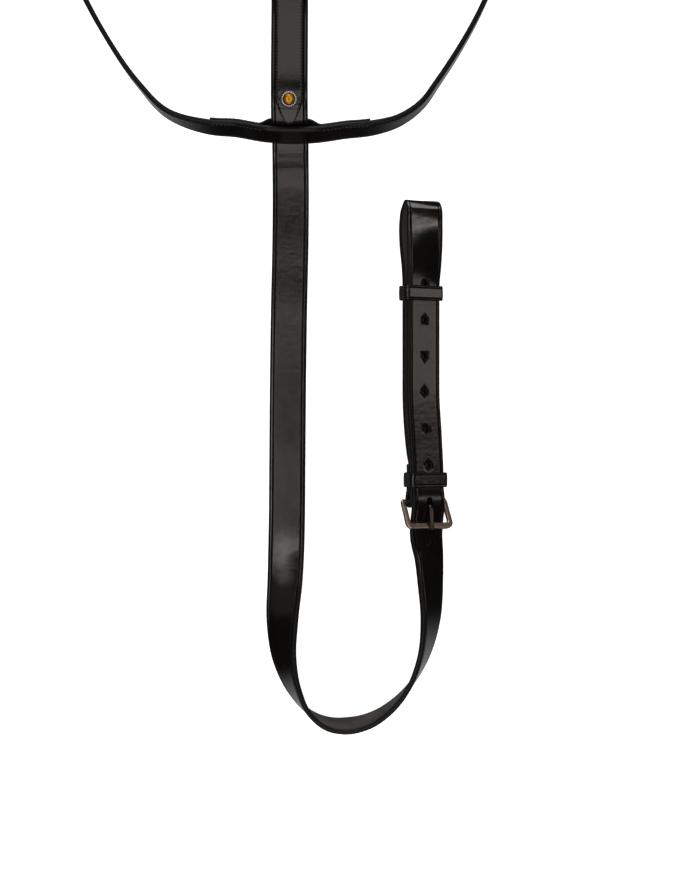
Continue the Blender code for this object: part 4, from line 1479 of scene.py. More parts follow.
@dataclass
class BodyStrap:
    """Body strap from the chest, through the tunnel and round the U to its buckle and the girth loop."""

    buckle: Buckle
    neck: NeckStrap
    width: float = 25.4
    thick: float = 3.8
    hole: float = 4.5
    first_hole: float = 2.4
    hole_pitch: float = 25.3
    hole_stretch: float = 1.2
    tongue_hole_s: float = 1.75
    chest_length: float = 134.0
    chest_bend: float = 20.0
    chest_level: float = 7.0
    chest_fall: float = 0.19
    ramp: float = 4.0
    straight: Point = (-150.0, -76.0)
    shift: float = 3.4
    back_shift: float = 0.7
    in_line: float = -22.0
    drift: float = 40.0
    loop_length: float = 56.4
    front_rise: float = 4.0
    back_rise: float = 6.1
    loop_lean: float = 20.0
    loop_aside: float = 1.4
    lap_start: float = 32.0
    lap_length: float = 24.0
    lap_tip: float = 1.0
    row_at: float = 9.9

    def __post_init__(self) -> None:
        """Lays the route."""
        leg = [
            (-41.4, 170.0, 0, 0.0), (-41.7, 130.0, 0, 0.0), (-42.5, 94.0, 0, 0.0), (-43.3, 40.0, 0, 0.0),
            (-43.8, -20.0, 0, 0.0), (-44.1, -58.0, 0, 0.0), (-44.5, -78.0, 4, 0.0),
            (-45.3, -101.4, 15, 0.0), (-47.1, -129.0, 31, 0.0), (-45.4, -156.5, 52, 0.0),
            (-38.3, -178.1, 70, 0.0), (-29.6, -191.6, 84, 0.0), (-15.0, -200.7, 99, 0.0),
            (-1.0, -201.9, 104, 0.0), (14.2, -198.1, 101, 0.0), (27.7, -189.6, 95, 0.0),
            (39.6, -176.9, 87, 0.0), (50.3, -156.2, 75, 0.0), (55.9, -128.9, 60, 0.0),
            (55.8, -100.9, 47, 0.2), (54.8, -84.0, 40, 1.8),
        ]
        stops = self.chest_stops() + table_stops(leg, self.width, self.thick)
        bench, buckle = self.buckle.bench, self.buckle

        def on_bench(s: float, n: float, w: float = 0.0, thick: float = self.thick) -> Stop:
            """Stop of the strap at the buckle."""
            return Stop(bench.at(s, n, w), bench.side, thick)

        stops += [on_bench(s, n) for s, n in reversed(buckle.billet())]
        over_bar = len(stops) - 4
        first, last = self.straight
        stops.append(on_bench(last * 0.6, buckle.front, self.shift * 0.45))
        stops += [on_bench(s, buckle.front, self.shift) for s in (last, last - 4, first + 4, first)]
        stops += self.loop()
        shifted = self.shift + self.back_shift
        stops += [on_bench(s, -buckle.front, shifted) for s in (first, first + 4, last - 4, last)]
        for s, n, thick in buckle.fold.line():
            stops.append(on_bench(s, n, shifted * smooth((self.in_line - s) / self.drift), thick))
        self.route = Route(stops)
        self.tongue_at = self.route.marks[over_bar] + buckle.billet()[3][0] - self.tongue_hole_s
        self.stud_at = self.route.marks[5] + 0.4

    def chest_stops(self) -> list[Stop]:
        """Stops from the lap down the chest, over the crossing and down to the table.

        Returns:
            The stops in order.
        """
        neck = self.neck
        lift = neck.bulge - neck.thick / 2 - neck.tunnel_fit - self.thick / 2
        centre = neck.route.place(neck.crossing_at, 0, lift)
        slope_way = neck.route.axes(neck.crossing_at)[1]
        slope = math.atan2(slope_way.z, slope_way.y)

        def on_chest(y: float, z: float) -> Stop:
            """Stop of the flat strap on the chest's middle line."""
            return Stop(Vector((neck.chest_x, y, z)), Vector((1, 0, 0)), self.thick)

        ramp_y, ramp_z = self.ramp * math.cos(slope), self.ramp * math.sin(slope)
        leg_bend = (centre.z - ramp_z - self.thick / 2) / (1 - math.cos(slope))
        top_y = centre.y + ramp_y + self.chest_bend * math.sin(slope)
        top_z = centre.z + ramp_z + self.chest_bend * (1 - math.cos(slope))
        fall_y, fall_z = top_y + self.chest_level + 24, top_z - 2.6
        far_y = centre.y + self.chest_length
        falling = (far_y, far_y - 4, fall_y + 4, fall_y)
        stops = [on_chest(y, fall_z - (y - fall_y) * self.chest_fall) for y in falling]
        stops.append(on_chest(top_y + self.chest_level, top_z))
        for share in (0.0, 0.25, 0.5, 0.75, 1.0):
            lean = slope * share
            y = centre.y + ramp_y + self.chest_bend * (math.sin(slope) - math.sin(lean))
            z = centre.z + ramp_z + self.chest_bend * (math.cos(lean) - math.cos(slope))
            stops.append(on_chest(y, z))
        stops.append(on_chest(centre.y, centre.z))
        for share in (1.0, 0.75, 0.5, 0.25, 0.0):
            lean = slope * share
            y = centre.y - ramp_y - leg_bend * (math.sin(slope) - math.sin(lean))
            stops.append(on_chest(y, centre.z - ramp_z - leg_bend * (math.cos(lean) - math.cos(slope))))
        return stops

    def loop(self) -> list[Stop]:
        """Stops of the teardrop that the girth goes through. Its front leans back until it faces up.

        Returns:
            The stops in order.
        """
        bench, front = self.buckle.bench, self.buckle.front
        rounds = ((0.2, 0.36, 0.3), (0.52, 0.94, 0.8), (0.76, 1.0, 1.0), (0.93, 0.5, 0.85))
        points = [(along, front + self.front_rise * rise, lean) for along, rise, lean in rounds]
        points.append((1.0, (self.front_rise - self.back_rise) / 2, 0.5))
        for along, rise, lean in reversed(rounds):
            points.append((along, -front - self.back_rise * rise, 0.15 * along * lean))
        stops = []
        for along, n, lean in points:
            turn = math.radians(self.loop_lean) * lean
            out = bench.out * math.cos(turn) + bench.side * math.sin(turn)
            side = bench.side * math.cos(turn) - bench.out * math.sin(turn)
            middle = bench.at(self.straight[0] - self.loop_length * along, 0)
            place = middle + out * n + side * (self.shift - self.loop_aside * lean)
            stops.append(Stop(place, side, self.thick))
        return stops

    def lap_height(self, s: float) -> float:
        """Height of the slanted joint between the strap and the branches lapped over it."""
        share = clamp((s - self.lap_start) / self.lap_length)
        return lerp(self.lap_tip - self.thick / 2, self.thick / 2, share)

    def build_strap(self, stud_hole: BMesh) -> BMesh:
        """The strap, thinned at the lap, with its holes and the tongue's slots.

        Args:
            stud_hole: Cutter for the stud's post, which is used up.

        Returns:
            The mesh in the plan.
        """

        def shape(s: float, across: float, above: float) -> Point:
            """Thins the lap from above.

            Args:
                s: Distance along the route.
                across: Distance across the strap.
                above: Height above its middle.

            Returns:
                The two values that take the place of across and above.
            """
            if s < self.lap_start + self.lap_length:
                above = min(above, self.lap_height(s))
            return across, above

        stations = self.route.stations(self.lap_start, self.route.end, longest=3.5, turn=3.5)
        bm = lay(self.route, Section(self.width, self.thick), stations, shape)
        cutters = []
        for count in (-1, 1, 2, 3, 4, 5, 6):
            s = self.tongue_at + count * self.hole_pitch + math.copysign(self.hole_stretch, count)
            cutters.append(punch(self.route, s, self.hole if count > 0 else self.first_hole, self.thick))
        return combine(bm, gather([*cutters, *slots(self.buckle), stud_hole]), "DIFFERENCE", Zone.CUT)

    def build_stitches(self) -> BMesh:
        """Rows under the folded end at the buckle.

        Returns:
            The thread.
        """
        seam, last, rest = Seam(), self.route.marks[-1] - 2.0, self.buckle.ply / 2
        seam.close_fold(self.route, self.row_at, rest)
        seam.sew(self.route, [(last, -self.row_at), (last, self.row_at)], rest)
        return seam.bm

    def dress(self, finishes: Finishes, stud_hole: BMesh) -> None:
        """Adds the strap and its thread."""
        add("body_strap_leather", self.build_strap(stud_hole), finishes.body, STRAPS, "body_strap")
        add("girth_fold_stitches", self.build_stitches(), finishes.thread, STRAPS)


@dataclass
class Branches:
    """The two branches that the body strap divides into, each folded and sewn round a rein ring."""

    body: BodyStrap
    slit: float = 0.6
    spread: float = 60.0
    reach: float = 566.0
    wire: float = 2.0
    inner: float = 13.0
    play: float = 0.5
    ply: float = 1.9
    turned: float = 22.0
    fit: float = 0.35
    seam: float = 0.3

    def __post_init__(self) -> None:
        """Works out the branch's width and how the ring hangs in its fold."""
        self.width = (self.body.width - self.slit) / 2
        self.radius = self.inner + self.wire
        sagitta = self.radius - math.sqrt(self.radius**2 - (self.width / 2) ** 2)
        self.fold = Fold(0.0, self.body.thick, self.ply, self.wire + sagitta / 2 + self.play, self.turned)
        self.to_centre = self.radius - sagitta / 2

    def bench(self, side: Side) -> Bench:
        """Frame at a ring."""
        origin = (self.body.neck.chest_x + side.value * self.spread, self.reach, self.seam - self.fold.bottom)
        return Bench(origin, (side.value * 0.16, 1, 0), UP)

    def lay_out(self, side: Side) -> tuple[Route, float]:
        """Route of a branch, and the distance at which its lap ends.

        Args:
            side: Side of the branch.

        Returns:
            The route and the distance.
        """
        body, bench = self.body, self.bench(side)
        offset = side.value * (self.width + self.slit) / 2
        share = (body.thick - 2 * body.lap_tip - self.seam) / (body.thick - body.lap_tip)
        first = body.lap_start + share * body.lap_length
        across = Vector((-1, 0, 0))
        places = [body.route.place(s, offset) for s in (first, first - 4, 22.0, 12.0)]
        stops = [Stop(place, across, body.thick) for place in places]
        end = body.route.place(0.0, offset)
        free = (
            (10.0, 12.0, -2.4), (17.0, 40.0, -6.2), (29.0, 80.0, 0.0), (40.0, 120.0, 0.0), (50.0, 160.0, 0.0)
        )
        for spread, reach, fall in free:
            z = max(end.z + fall, body.thick / 2) if fall else body.thick / 2
            place = Vector((body.neck.chest_x + side.value * spread, end.y + reach, z))
            stops.append(Stop(place, across, body.thick))
        stops += [Stop(bench.at(s, n), -bench.side, thick) for s, n, thick in self.fold.line()]
        return Route(stops), first

    def build_branch(self, route: Route, first: float) -> BMesh:
        """One branch, thinned underneath where it laps over the body strap.

        Args:
            route: Route of the branch.
            first: Distance on the body strap at which the branch starts.

        Returns:
            The mesh in the plan.
        """
        heel = first - self.body.lap_start + self.seam

        def shape(s: float, across: float, above: float) -> Point:
            """Thins the lap from below.

            Args:
                s: Distance along the route.
                across: Distance across the strap.
                above: Height above its middle.

            Returns:
                The two values that take the place of across and above.
            """
            if s < heel + self.seam / 2:
                above = max(above, self.body.lap_height(first - s) + self.seam)
            return across, above

        stations = route.stations(0.0, route.end, longest=3.5, turn=4.0)
        section = Section(self.width, self.body.thick, **NARROW_EDGES)
        return lay(route, section, sorted({*stations, heel, heel + self.seam}), shape)

    def build_stitches(self, side: Side, route: Route) -> BMesh:
        """Rows along the outer edge of the lap and both sides of the fold.

        Args:
            side: Side of the branch.
            route: Its route.

        Returns:
            The thread.
        """
        seam = Seam(**NARROW_STITCH)
        outer = -side.value * (self.width / 2 - 1.35)
        seam.sew(route, [(2.0, outer), (24.0, outer)], self.body.thick / 2)
        start, parting = route.marks[-10:-8]
        inset = self.width / 2 - NARROW_EDGES["crease_in"]
        top = [(parting - 1.5, -inset), (start + 1.0, -inset), (start + 1.0, inset), (parting - 1.5, inset)]
        seam.sew(route, top, self.ply / 2)
        seam.close_fold(route, inset, self.ply / 2, 1.5)
        return seam.bm

    def build_ring(self, side: Side) -> BMesh:
        """A ring of round wire, its far side resting on the table.

        Args:
            side: Side of the ring.

        Returns:
            The mesh in the plan.
        """
        bench = self.bench(side)
        pivot = bench.at(0, self.fold.bar_n)
        tilt = math.asin((pivot.z - self.wire - self.fit) / (self.to_centre + self.radius))
        bm = bmesh.new()
        wire = bmesh.ops.create_circle(bm, segments=20, radius=self.wire)["verts"]
        bmesh.ops.rotate(bm, verts=wire, cent=(0, 0, 0), matrix=Matrix.Rotation(math.pi / 2, 3, "X"))
        bmesh.ops.translate(bm, verts=wire, vec=(self.radius, 0, 0))
        spin_round(bm, (0, 0, 1), 72)
        bm.transform(bench.turned(0, self.fold.bar_n, -tilt) @ Matrix.Translation((0, self.to_centre, 0)))
        return bm

    def dress(self, finishes: Finishes) -> None:
        """Adds both branches with their thread and rings.

        Args:
            finishes: Every finish of the breastplate.
        """
        for side in Side:
            tail = side.name.lower()
            route, first = self.lay_out(side)
            branch, ring = self.build_branch(route, first), self.build_ring(side)
            add("branch_leather_" + tail, branch, finishes.narrow, STRAPS, "fork_strap_" + tail)
            add("branch_stitches_" + tail, self.build_stitches(side, route), finishes.thread, STRAPS)
            add("rein_ring_wire_" + tail, ring, finishes.gunmetal, "ring_" + tail, "rein_ring_" + tail)


@dataclass
class ChestTab:
    """The pointed shield on the chest, sewn round its border."""

    body: BodyStrap
    width: float = 19.4
    thick: float = 1.8
    point: float = 15.0
    over: float = 7.0
    tip_from_stud: float = 15.6
    seam: float = 0.3
    stitch_in: float = 1.45

    def __post_init__(self) -> None:
        """Works out where the tab starts and ends on the body strap's route."""
        self.start = self.body.lap_start - self.over
        self.tip = self.body.stud_at + self.tip_from_stud
        self.rest = self.body.thick / 2 + self.seam + self.thick / 2

    def narrowed(self, s: float) -> float:
        """Share of the full width that the tab has at a distance."""
        share = clamp(min(s - self.start, self.tip - s) / self.point)
        return max(share**0.6, 0.03)

    def build_leather(self, stud_hole: BMesh) -> BMesh:
        """The shield, a little crowned, with the hole for the stud's post.

        Args:
            stud_hole: Cutter for the post, which is used up.

        Returns:
            The mesh in the plan.
        """

        def shape(s: float, across: float, above: float) -> Point:
            """Narrows the tab to its points."""
            return across * self.narrowed(s), above + self.rest

        shares = (0.01, 0.03, 0.06, 0.1, 0.15, 0.22, 0.3, 0.4, 0.5, 0.62, 0.75, 0.88, 1.0)
        stations = set(self.body.route.stations(self.start, self.tip, longest=3.0, turn=4.0))
        stations |= {self.start + self.point * share for share in shares}
        stations |= {self.tip - self.point * share for share in shares}
        crease = {"crease_in": self.stitch_in, "crease_depth": 0.22, "crease_half": 0.4}
        section = Section(self.width, self.thick, edge_round=0.6, **crease)
        bm = lay(self.body.route, section, sorted(stations), shape)
        return combine(bm, stud_hole, "DIFFERENCE", Zone.CUT)

    def build_stitches(self) -> BMesh:
        """Thread in the creased line, all round the border.

        Returns:
            The thread.
        """
        seam = Seam(pitch=2.4, length=2.1, thread=0.5, lean=14.0)
        first, last, rest = self.start + 2.0, self.tip - 2.0, self.rest + self.thick / 2 - 0.12
        spans = ((first, first + self.point, 16), (first + self.point, last - self.point, 1))
        for way in (-1, 1):
            for start, end, steps in (*spans, (last - self.point, last, 16)):
                places = [lerp(start, end, k / steps) for k in range(steps + 1)]
                line = [(s, way * self.border_at(s)) for s in places]
                seam.sew(self.body.route, spaced(line, seam.pitch) if steps > 1 else line, rest)
        return seam.bm

    def border_at(self, s: float) -> float:
        """How far from the middle the creased border runs at a distance."""
        return max((self.width / 2 - self.stitch_in) * self.narrowed(s), 0.0)

    def dress(self, finishes: Finishes, stud_hole: BMesh) -> None:
        """Adds the shield and its thread."""
        add("chest_tab_leather", self.build_leather(stud_hole), finishes.tab, STRAPS, "chest_tab")
        add("chest_tab_stitches", self.build_stitches(), finishes.dark_thread, STRAPS)


def spaced(line: Sequence[Point], pitch: float) -> list[Point]:
    """Points a pitch apart along a bent line, so that one stitch goes between each two.

    Args:
        line: Corners of the line.
        pitch: Spacing wanted.

    Returns:
        The points, evenly spaced.
    """
    marks = [0.0]
    for (x, y), (to_x, to_y) in zip(line, line[1:]):
        marks.append(marks[-1] + math.hypot(to_x - x, to_y - y))
    count = max(round(marks[-1] / pitch), 1)
    points, i = [], 0
    for k in range(count + 1):
        target = marks[-1] * k / count
        while i < len(line) - 2 and marks[i + 1] < target:
            i += 1
        f = (target - marks[i]) / max(marks[i + 1] - marks[i], 1e-6)
        points.append((lerp(line[i][0], line[i + 1][0], f), lerp(line[i][1], line[i + 1][1], f)))
    return points


# The metal


@dataclass
class Badge:
    """Round stud on the chest: beaded silver rim, plain rosette in gold and a post closed on a washer."""

    body: BodyStrap
    tab_thick: float = 1.8
    seam: float = 0.3
    fit: float = 0.35
    radius: float = 6.2
    height: float = 2.0
    post: float = 1.4
    dome: float = 3.35
    dome_rise: float = 1.2
    washer_gap: float = 0.55
    washer_thick: float = 1.0
    beads: int = 20
    bead_at: float = 4.7
    bead: float = 0.6
    petals: int = 8
    petal_rise: float = 0.34
    petal_level: float = 0.6
    ring_line: float = 2.65
    boss_line: float = 0.75
    boss: float = 0.5
    rosette: Point = (0.8, 2.5)
    rim_shade_from: float = 3.0

    def matrix(self) -> Matrix:
        """Place of the stud: its z axis is the leather's normal, and z = 0 is the top of the tab."""
        return self.body.route.standing(self.body.stud_at, self.body.thick / 2 + self.seam + self.tab_thick)

    def hole(self) -> BMesh:
        """Cutter for the post.

        Returns:
            The cutter in the plan.
        """
        depth = self.tab_thick + self.body.thick + self.seam
        bm = rod(self.post + self.fit, depth + 3, 24)
        upright = Matrix.Rotation(math.pi / 2, 4, "Y")
        bm.transform(self.matrix() @ Matrix.Translation((0, 0, -depth / 2)) @ upright)
        return bm

    def build_rim(self) -> BMesh:
        """Rim with a channel for the beads, a cup for the dome and the post.

        Returns:
            The mesh in the plan.
        """
        depth = self.washer_thick + self.tab_thick + self.body.thick + self.seam + self.washer_gap
        low, cup, outer, top = self.seam, self.dome + self.seam * 0.6, self.radius, self.height
        post, channel = self.post, self.bead_at
        profile = [
            (0, -depth), (post - 0.25, -depth), (post, -depth + 0.25), (post, low), (outer - 0.5, low),
            (outer - 0.12, low + 0.15), (outer, low + 0.5), (outer - 0.05, top * 0.62),
            (outer - 0.22, top * 0.74), (outer - 0.45, top * 0.76), (channel + 0.55, top * 0.66),
            (channel, top * 0.55), (channel - 0.5, top * 0.66), (cup + 0.3, top * 0.88),
            (cup + 0.16, top * 0.93), (cup, top * 0.88), (cup, top * 0.5), (0, top * 0.5),
        ]
        bm = turned_profile(profile, 64)
        bm.transform(self.matrix())
        return bm

    def build_beads(self) -> BMesh:
        """A ring of small beads in the rim's channel.

        Returns:
            The mesh in the plan.
        """
        bm = bmesh.new()
        for k in range(self.beads):
            turn = Matrix.Rotation(math.tau * k / self.beads, 4, "Z")
            place = self.matrix() @ turn @ Matrix.Translation((self.bead_at, 0, self.height * 0.75))
            bmesh.ops.create_icosphere(bm, subdivisions=2, radius=self.bead, matrix=place)
        return bm

    def build_dome(self) -> BMesh:
        """Gold dome with a ring line and a rosette of petals round a small boss.

        Returns:
            The mesh in the plan.
        """
        base, shoulder = self.height * 0.5 + 0.1, self.height - 0.1
        profile = [(0.0, base), (self.dome, base)]
        steps = 22
        for k in range(steps + 1):
            r = self.dome * (1 - k / steps)
            height = shoulder + self.dome_rise * math.sqrt(max(1 - (r / self.dome) ** 2, 0.0)) * 0.9
            groove = 0.26 * bell(r, self.ring_line, 0.2)
            boss = 0.2 * math.exp(-((r / self.boss) ** 4)) - 0.2 * bell(r, self.boss_line, 0.16)
            profile.append((r, height - groove + boss))
        bm = turned_profile(profile, 96)
        relief = bm.loops.layers.uv.new("relief")
        first, last = self.rosette
        for vertex in bm.verts:
            r = math.hypot(vertex.co.x, vertex.co.y)
            patina_and_shade_share = bell(r, self.ring_line, 0.3) + bell(r, self.boss_line, 0.22)
            # Darker toward the dome's outer edge, next to the rim: painted shade there.
            patina_and_shade_share += smooth((r - self.rim_shade_from) * 4)
            if vertex.co.z > shoulder and first < r < last:
                swell = math.sin(math.pi * (r - first) / (last - first))
                petal = abs(math.cos(math.atan2(vertex.co.y, vertex.co.x) * self.petals / 2))
                vertex.co.z += self.petal_rise * swell * (petal - self.petal_level)
                patina_and_shade_share += swell * (1 - petal) ** 2
            for loop in vertex.link_loops:
                loop[relief].uv = (min(patina_and_shade_share, 1.0), 0.0)
        bm.transform(self.matrix())
        return bm

    def dress(self, finishes: Finishes) -> None:
        """Adds the rim, the beads and the dome, and finishes the washer.

        Args:
            finishes: Every finish of the breastplate.
        """
        add("badge_rim", self.build_rim(), finishes.oxidised, STRAPS, "stud_rim")
        add("badge_beads", self.build_beads(), finishes.nickel, STRAPS)
        add("badge_rosette", self.build_dome(), finishes.gold, STRAPS, "stud_dome")
        for slot in frame["nodes"]["stud_washer"].material_slots:
            slot.material = finishes.gunmetal[0]


@dataclass
class BuckleSet:
    """One buckle with its tongue, and the keepers beside it."""

    prefix: str
    buckle: Buckle
    runner_at: float
    wall: float
    length: float
    shift: float = 0.0
    back_shift: float = 0.0
    keeper_round: float = 2.4
    keeper_play: float = 0.4

    def build_frame(self) -> BMesh:
        """U of rounded bar whose ends are joined by a round bar.

        Returns:
            The mesh in the plan.
        """
        buckle = self.buckle
        middle = buckle.window + buckle.side_rail / 2
        corner, ahead = buckle.rail * 0.66, buckle.side_rail / 2
        place = buckle.bench.turned(0, buckle.bar_n, buckle.pitch)
        turn = place.to_3x3()
        half = [(-middle, -ahead), (-middle, 0.0), (-middle, buckle.reach * 0.5)]
        half += arc((corner - middle, buckle.reach - corner), corner, 180, 90, 5)
        half.append((-middle * 0.4, buckle.reach))
        line = [*half, (0.0, buckle.reach), *((-x, y) for x, y in reversed(half))]
        normal = turn @ Vector((0, 0, 1))
        route = Route([Stop(place @ Vector((x, y, 0.0)), normal, 1.0) for x, y in line])
        far_from, far_to = route.marks[5], route.marks[-6]

        def shape(s: float, across: float, above: float) -> Point:
            """Widens the far rail and rounds the ends.

            Args:
                s: Distance along the route.
                across: Distance across the strap.
                above: Height above its middle.

            Returns:
                The two values that take the place of across and above.
            """
            near_far = smooth((s - far_from + 5) / 6) * smooth((far_to + 5 - s) / 6)
            above *= lerp(1.0, buckle.rail / buckle.side_rail, near_far)
            to_end = min(s, route.end - s)
            rounded = rounding(min(to_end / (2 * ahead), 1.0))
            return across * lerp(0.75, 1.0, rounded), above * max(rounded, 0.12)

        stations = sorted({*route.stations(0.0, route.end, longest=1.2, turn=7.0), 0.1, 0.3, 0.6})
        section = Bar(buckle.plate, buckle.side_rail, min(buckle.plate, buckle.side_rail) * 0.3, 5)
        bm = lay(route, section, stations, shape)
        bar = rod(buckle.bar, 2 * middle, 32)
        bar.transform(place)
        return combine(bm, bar, "UNION")

    def build_tongue(self) -> BMesh:
        """An eye round the bar and an arm that rises through the billet and lies down on the far bar.

        Returns:
            The mesh in the plan.
        """
        buckle, bench = self.buckle, self.buckle.bench
        wall, hole = buckle.tongue_thick * 0.55, buckle.bar + 0.25
        top = buckle.over + buckle.thick / 2
        seat = buckle.far_n + buckle.plate / 2 / math.cos(buckle.pitch)
        seat += buckle.tongue_thick / 2 + buckle.seam
        radius = buckle.fold.radius
        line = [
            (0.1 * radius, buckle.bar_n + hole + wall * 0.6),
            (0.55 * radius, (buckle.fold.top + top) / 2),
            (1.15 * radius, top + 0.5 * buckle.tongue_thick),
            (0.52 * buckle.far_s, top + 0.95 * buckle.tongue_thick),
            (buckle.far_s, seat),
            (buckle.far_s + buckle.rail * 0.62, seat + buckle.rail * 0.2),
        ]
        route = Route([Stop(bench.at(s, n), bench.side, 1.0) for s, n in line])

        def shape(s: float, across: float, above: float) -> Point:
            """Tapers the arm and rounds its tip.

            Args:
                s: Distance along the route.
                across: Distance across the strap.
                above: Height above its middle.

            Returns:
                The two values that take the place of across and above.
            """
            share = s / route.end
            rounded = rounding(min((route.end - s) / (0.5 * buckle.tongue_width), 1.0))
            across *= lerp(1.0, 0.78, share) * max(rounded, 0.15)
            return across, above * lerp(1.0, 0.85, share) * max(rounded, 0.3)

        tips = {route.end - 0.5 * buckle.tongue_width * share for share in (0.02, 0.08, 0.2, 0.4, 0.7)}
        stations = sorted(tips.union(route.stations(0.0, route.end, longest=0.8, turn=6.0)))
        section = Bar(buckle.tongue_width, buckle.tongue_thick, buckle.tongue_thick * 0.42, 5)
        bm = lay(route, section, stations, shape)
        ways = [(math.cos(a), math.sin(a)) for a in (math.tau * k / 40 for k in range(40))]
        rim = [((x * (hole + wall / 2), z * (hole + wall / 2)), (x, z)) for x, z in ways]
        eye = hoop(Bar(buckle.tongue_width, wall, wall * 0.4, 3), rim)
        eye.transform(bench.turned(0, buckle.bar_n) @ Matrix.Rotation(math.pi / 2, 4, "Z"))
        bore = rod(hole, buckle.tongue_width + 4, 40)
        bore.transform(bench.turned(0, buckle.bar_n))
        return combine(combine(bm, eye, "UNION"), bore, "DIFFERENCE")

    def build_keeper(self, s: float, low: float, high: float, width: float, w: float = 0.0) -> BMesh:
        """A keeper round the layered straps, creased near both edges.

        Args:
            s: Bench distance of its middle.
            low: Height of the lowest face that it holds.
            high: Height of the highest face.
            width: Width of the straps in it.
            w: How far it sits to the side.

        Returns:
            The mesh in the plan.
        """
        more = 2 * self.keeper_play + self.wall
        section = Section(
            self.length, self.wall, edge_round=0.45, crease_in=1.6, crease_depth=0.18, crease_half=0.4
        )
        path = ring_path(width + more, high - low + more, self.keeper_round - self.wall / 2)
        bm = hoop(section, path, necked=0.16)
        place, aside = self.buckle.bench.turned(s, (low + high) / 2), self.buckle.bench.side * w
        bm.transform(Matrix.Translation(aside) @ place)
        border, strap = bm.loops.layers.uv.new("border"), bm.loops.layers.uv.new("strap")
        away = place.inverted() @ Matrix.Translation(-aside)
        for face in bm.faces:
            for loop in face.loops:
                at = away @ loop.vert.co
                loop[border].uv = ((self.length / 2 - abs(at.y)) * MM, 0.0)
                loop[strap].uv = (at.x * MM, at.y * MM)
        return bm

    def dress(self, finishes: Finishes) -> None:
        """Adds the frame, the tongue and both keepers.

        Args:
            finishes: Every finish of the breastplate.
        """
        buckle, prefix = self.buckle, self.prefix
        metals = (
            ("frame", self.build_frame(), finishes.gunmetal),
            ("tongue", self.build_tongue(), finishes.darker_steel),
        )
        for kind, bm, metal in metals:
            add(f"{prefix}_{kind}_metal", bm, metal, f"{prefix}_{kind}", f"{prefix}_buckle_{kind}")
        top, plies = buckle.front + buckle.thick / 2, buckle.fold.lower - buckle.fold.ply / 2
        fixed_at = buckle.fold.part_at - self.length / 2
        fixed = self.build_keeper(fixed_at, plies, top + buckle.seam, buckle.width)
        runner = self.build_keeper(
            self.runner_at, -top, top, buckle.width + self.back_shift, self.shift + self.back_shift / 2
        )
        for kind, bm, body in (("fixed", fixed, STRAPS), ("runner", runner, prefix + "_runner")):
            node = f"{prefix}_{kind}_keeper"
            add(node + "_leather", bm, finishes.keeper, body, node)


def ring_path(width: float, height: float, corner: float) -> list[tuple[Point, Point]]:
    """A rounded rectangle as points with outward normals.

    Args:
        width: Size in x.
        height: Size in z.
        corner: Corner radius.

    Returns:
        Points in order, each with its normal.
    """
    path = []
    x, z = width / 2 - corner, height / 2 - corner
    centres = ((x, z), (-x, z), (-x, -z), (x, -z))
    for number, (cx, cz) in enumerate(centres):
        for k in range(7):
            angle = math.radians(90 * number + 15 * k)
            normal = (math.cos(angle), math.sin(angle))
            path.append(((cx + corner * normal[0], cz + corner * normal[1]), normal))
        next_x, next_z = centres[(number + 1) % 4]
        last, normal = path[-1]
        for share in (0.06, 0.35, 0.65, 0.94):
            path.append(((last[0] + (next_x - cx) * share, last[1] + (next_z - cz) * share), normal))
    return path


# The studio


@dataclass(frozen=True)
class SoftBox:
    """A rectangular softbox that faces the middle of the table.

    The size is the one along x, or up the slope for a box at the left or right, then the other.
    """

    name: str
    place: tuple[float, float, float]
    size: Point
    power: float

    def hang(self, colour: Sequence[float]) -> None:
        """Adds the light to the scene.

        Args:
            colour: Colour of the light.
        """
        light = bpy.data.lights.new(self.name, "AREA")
        light.shape = "RECTANGLE"
        light.size, light.size_y = self.size
        light.energy, light.color = self.power, colour
        back = Vector(self.place).normalized()
        wide = (Vector((1, 0, 0)) - back * back.x).normalized()
        holder = new_object(self.name, light)
        holder.location = self.place
        holder.rotation_euler = Matrix((wide, back.cross(wide), back)).transposed().to_euler()


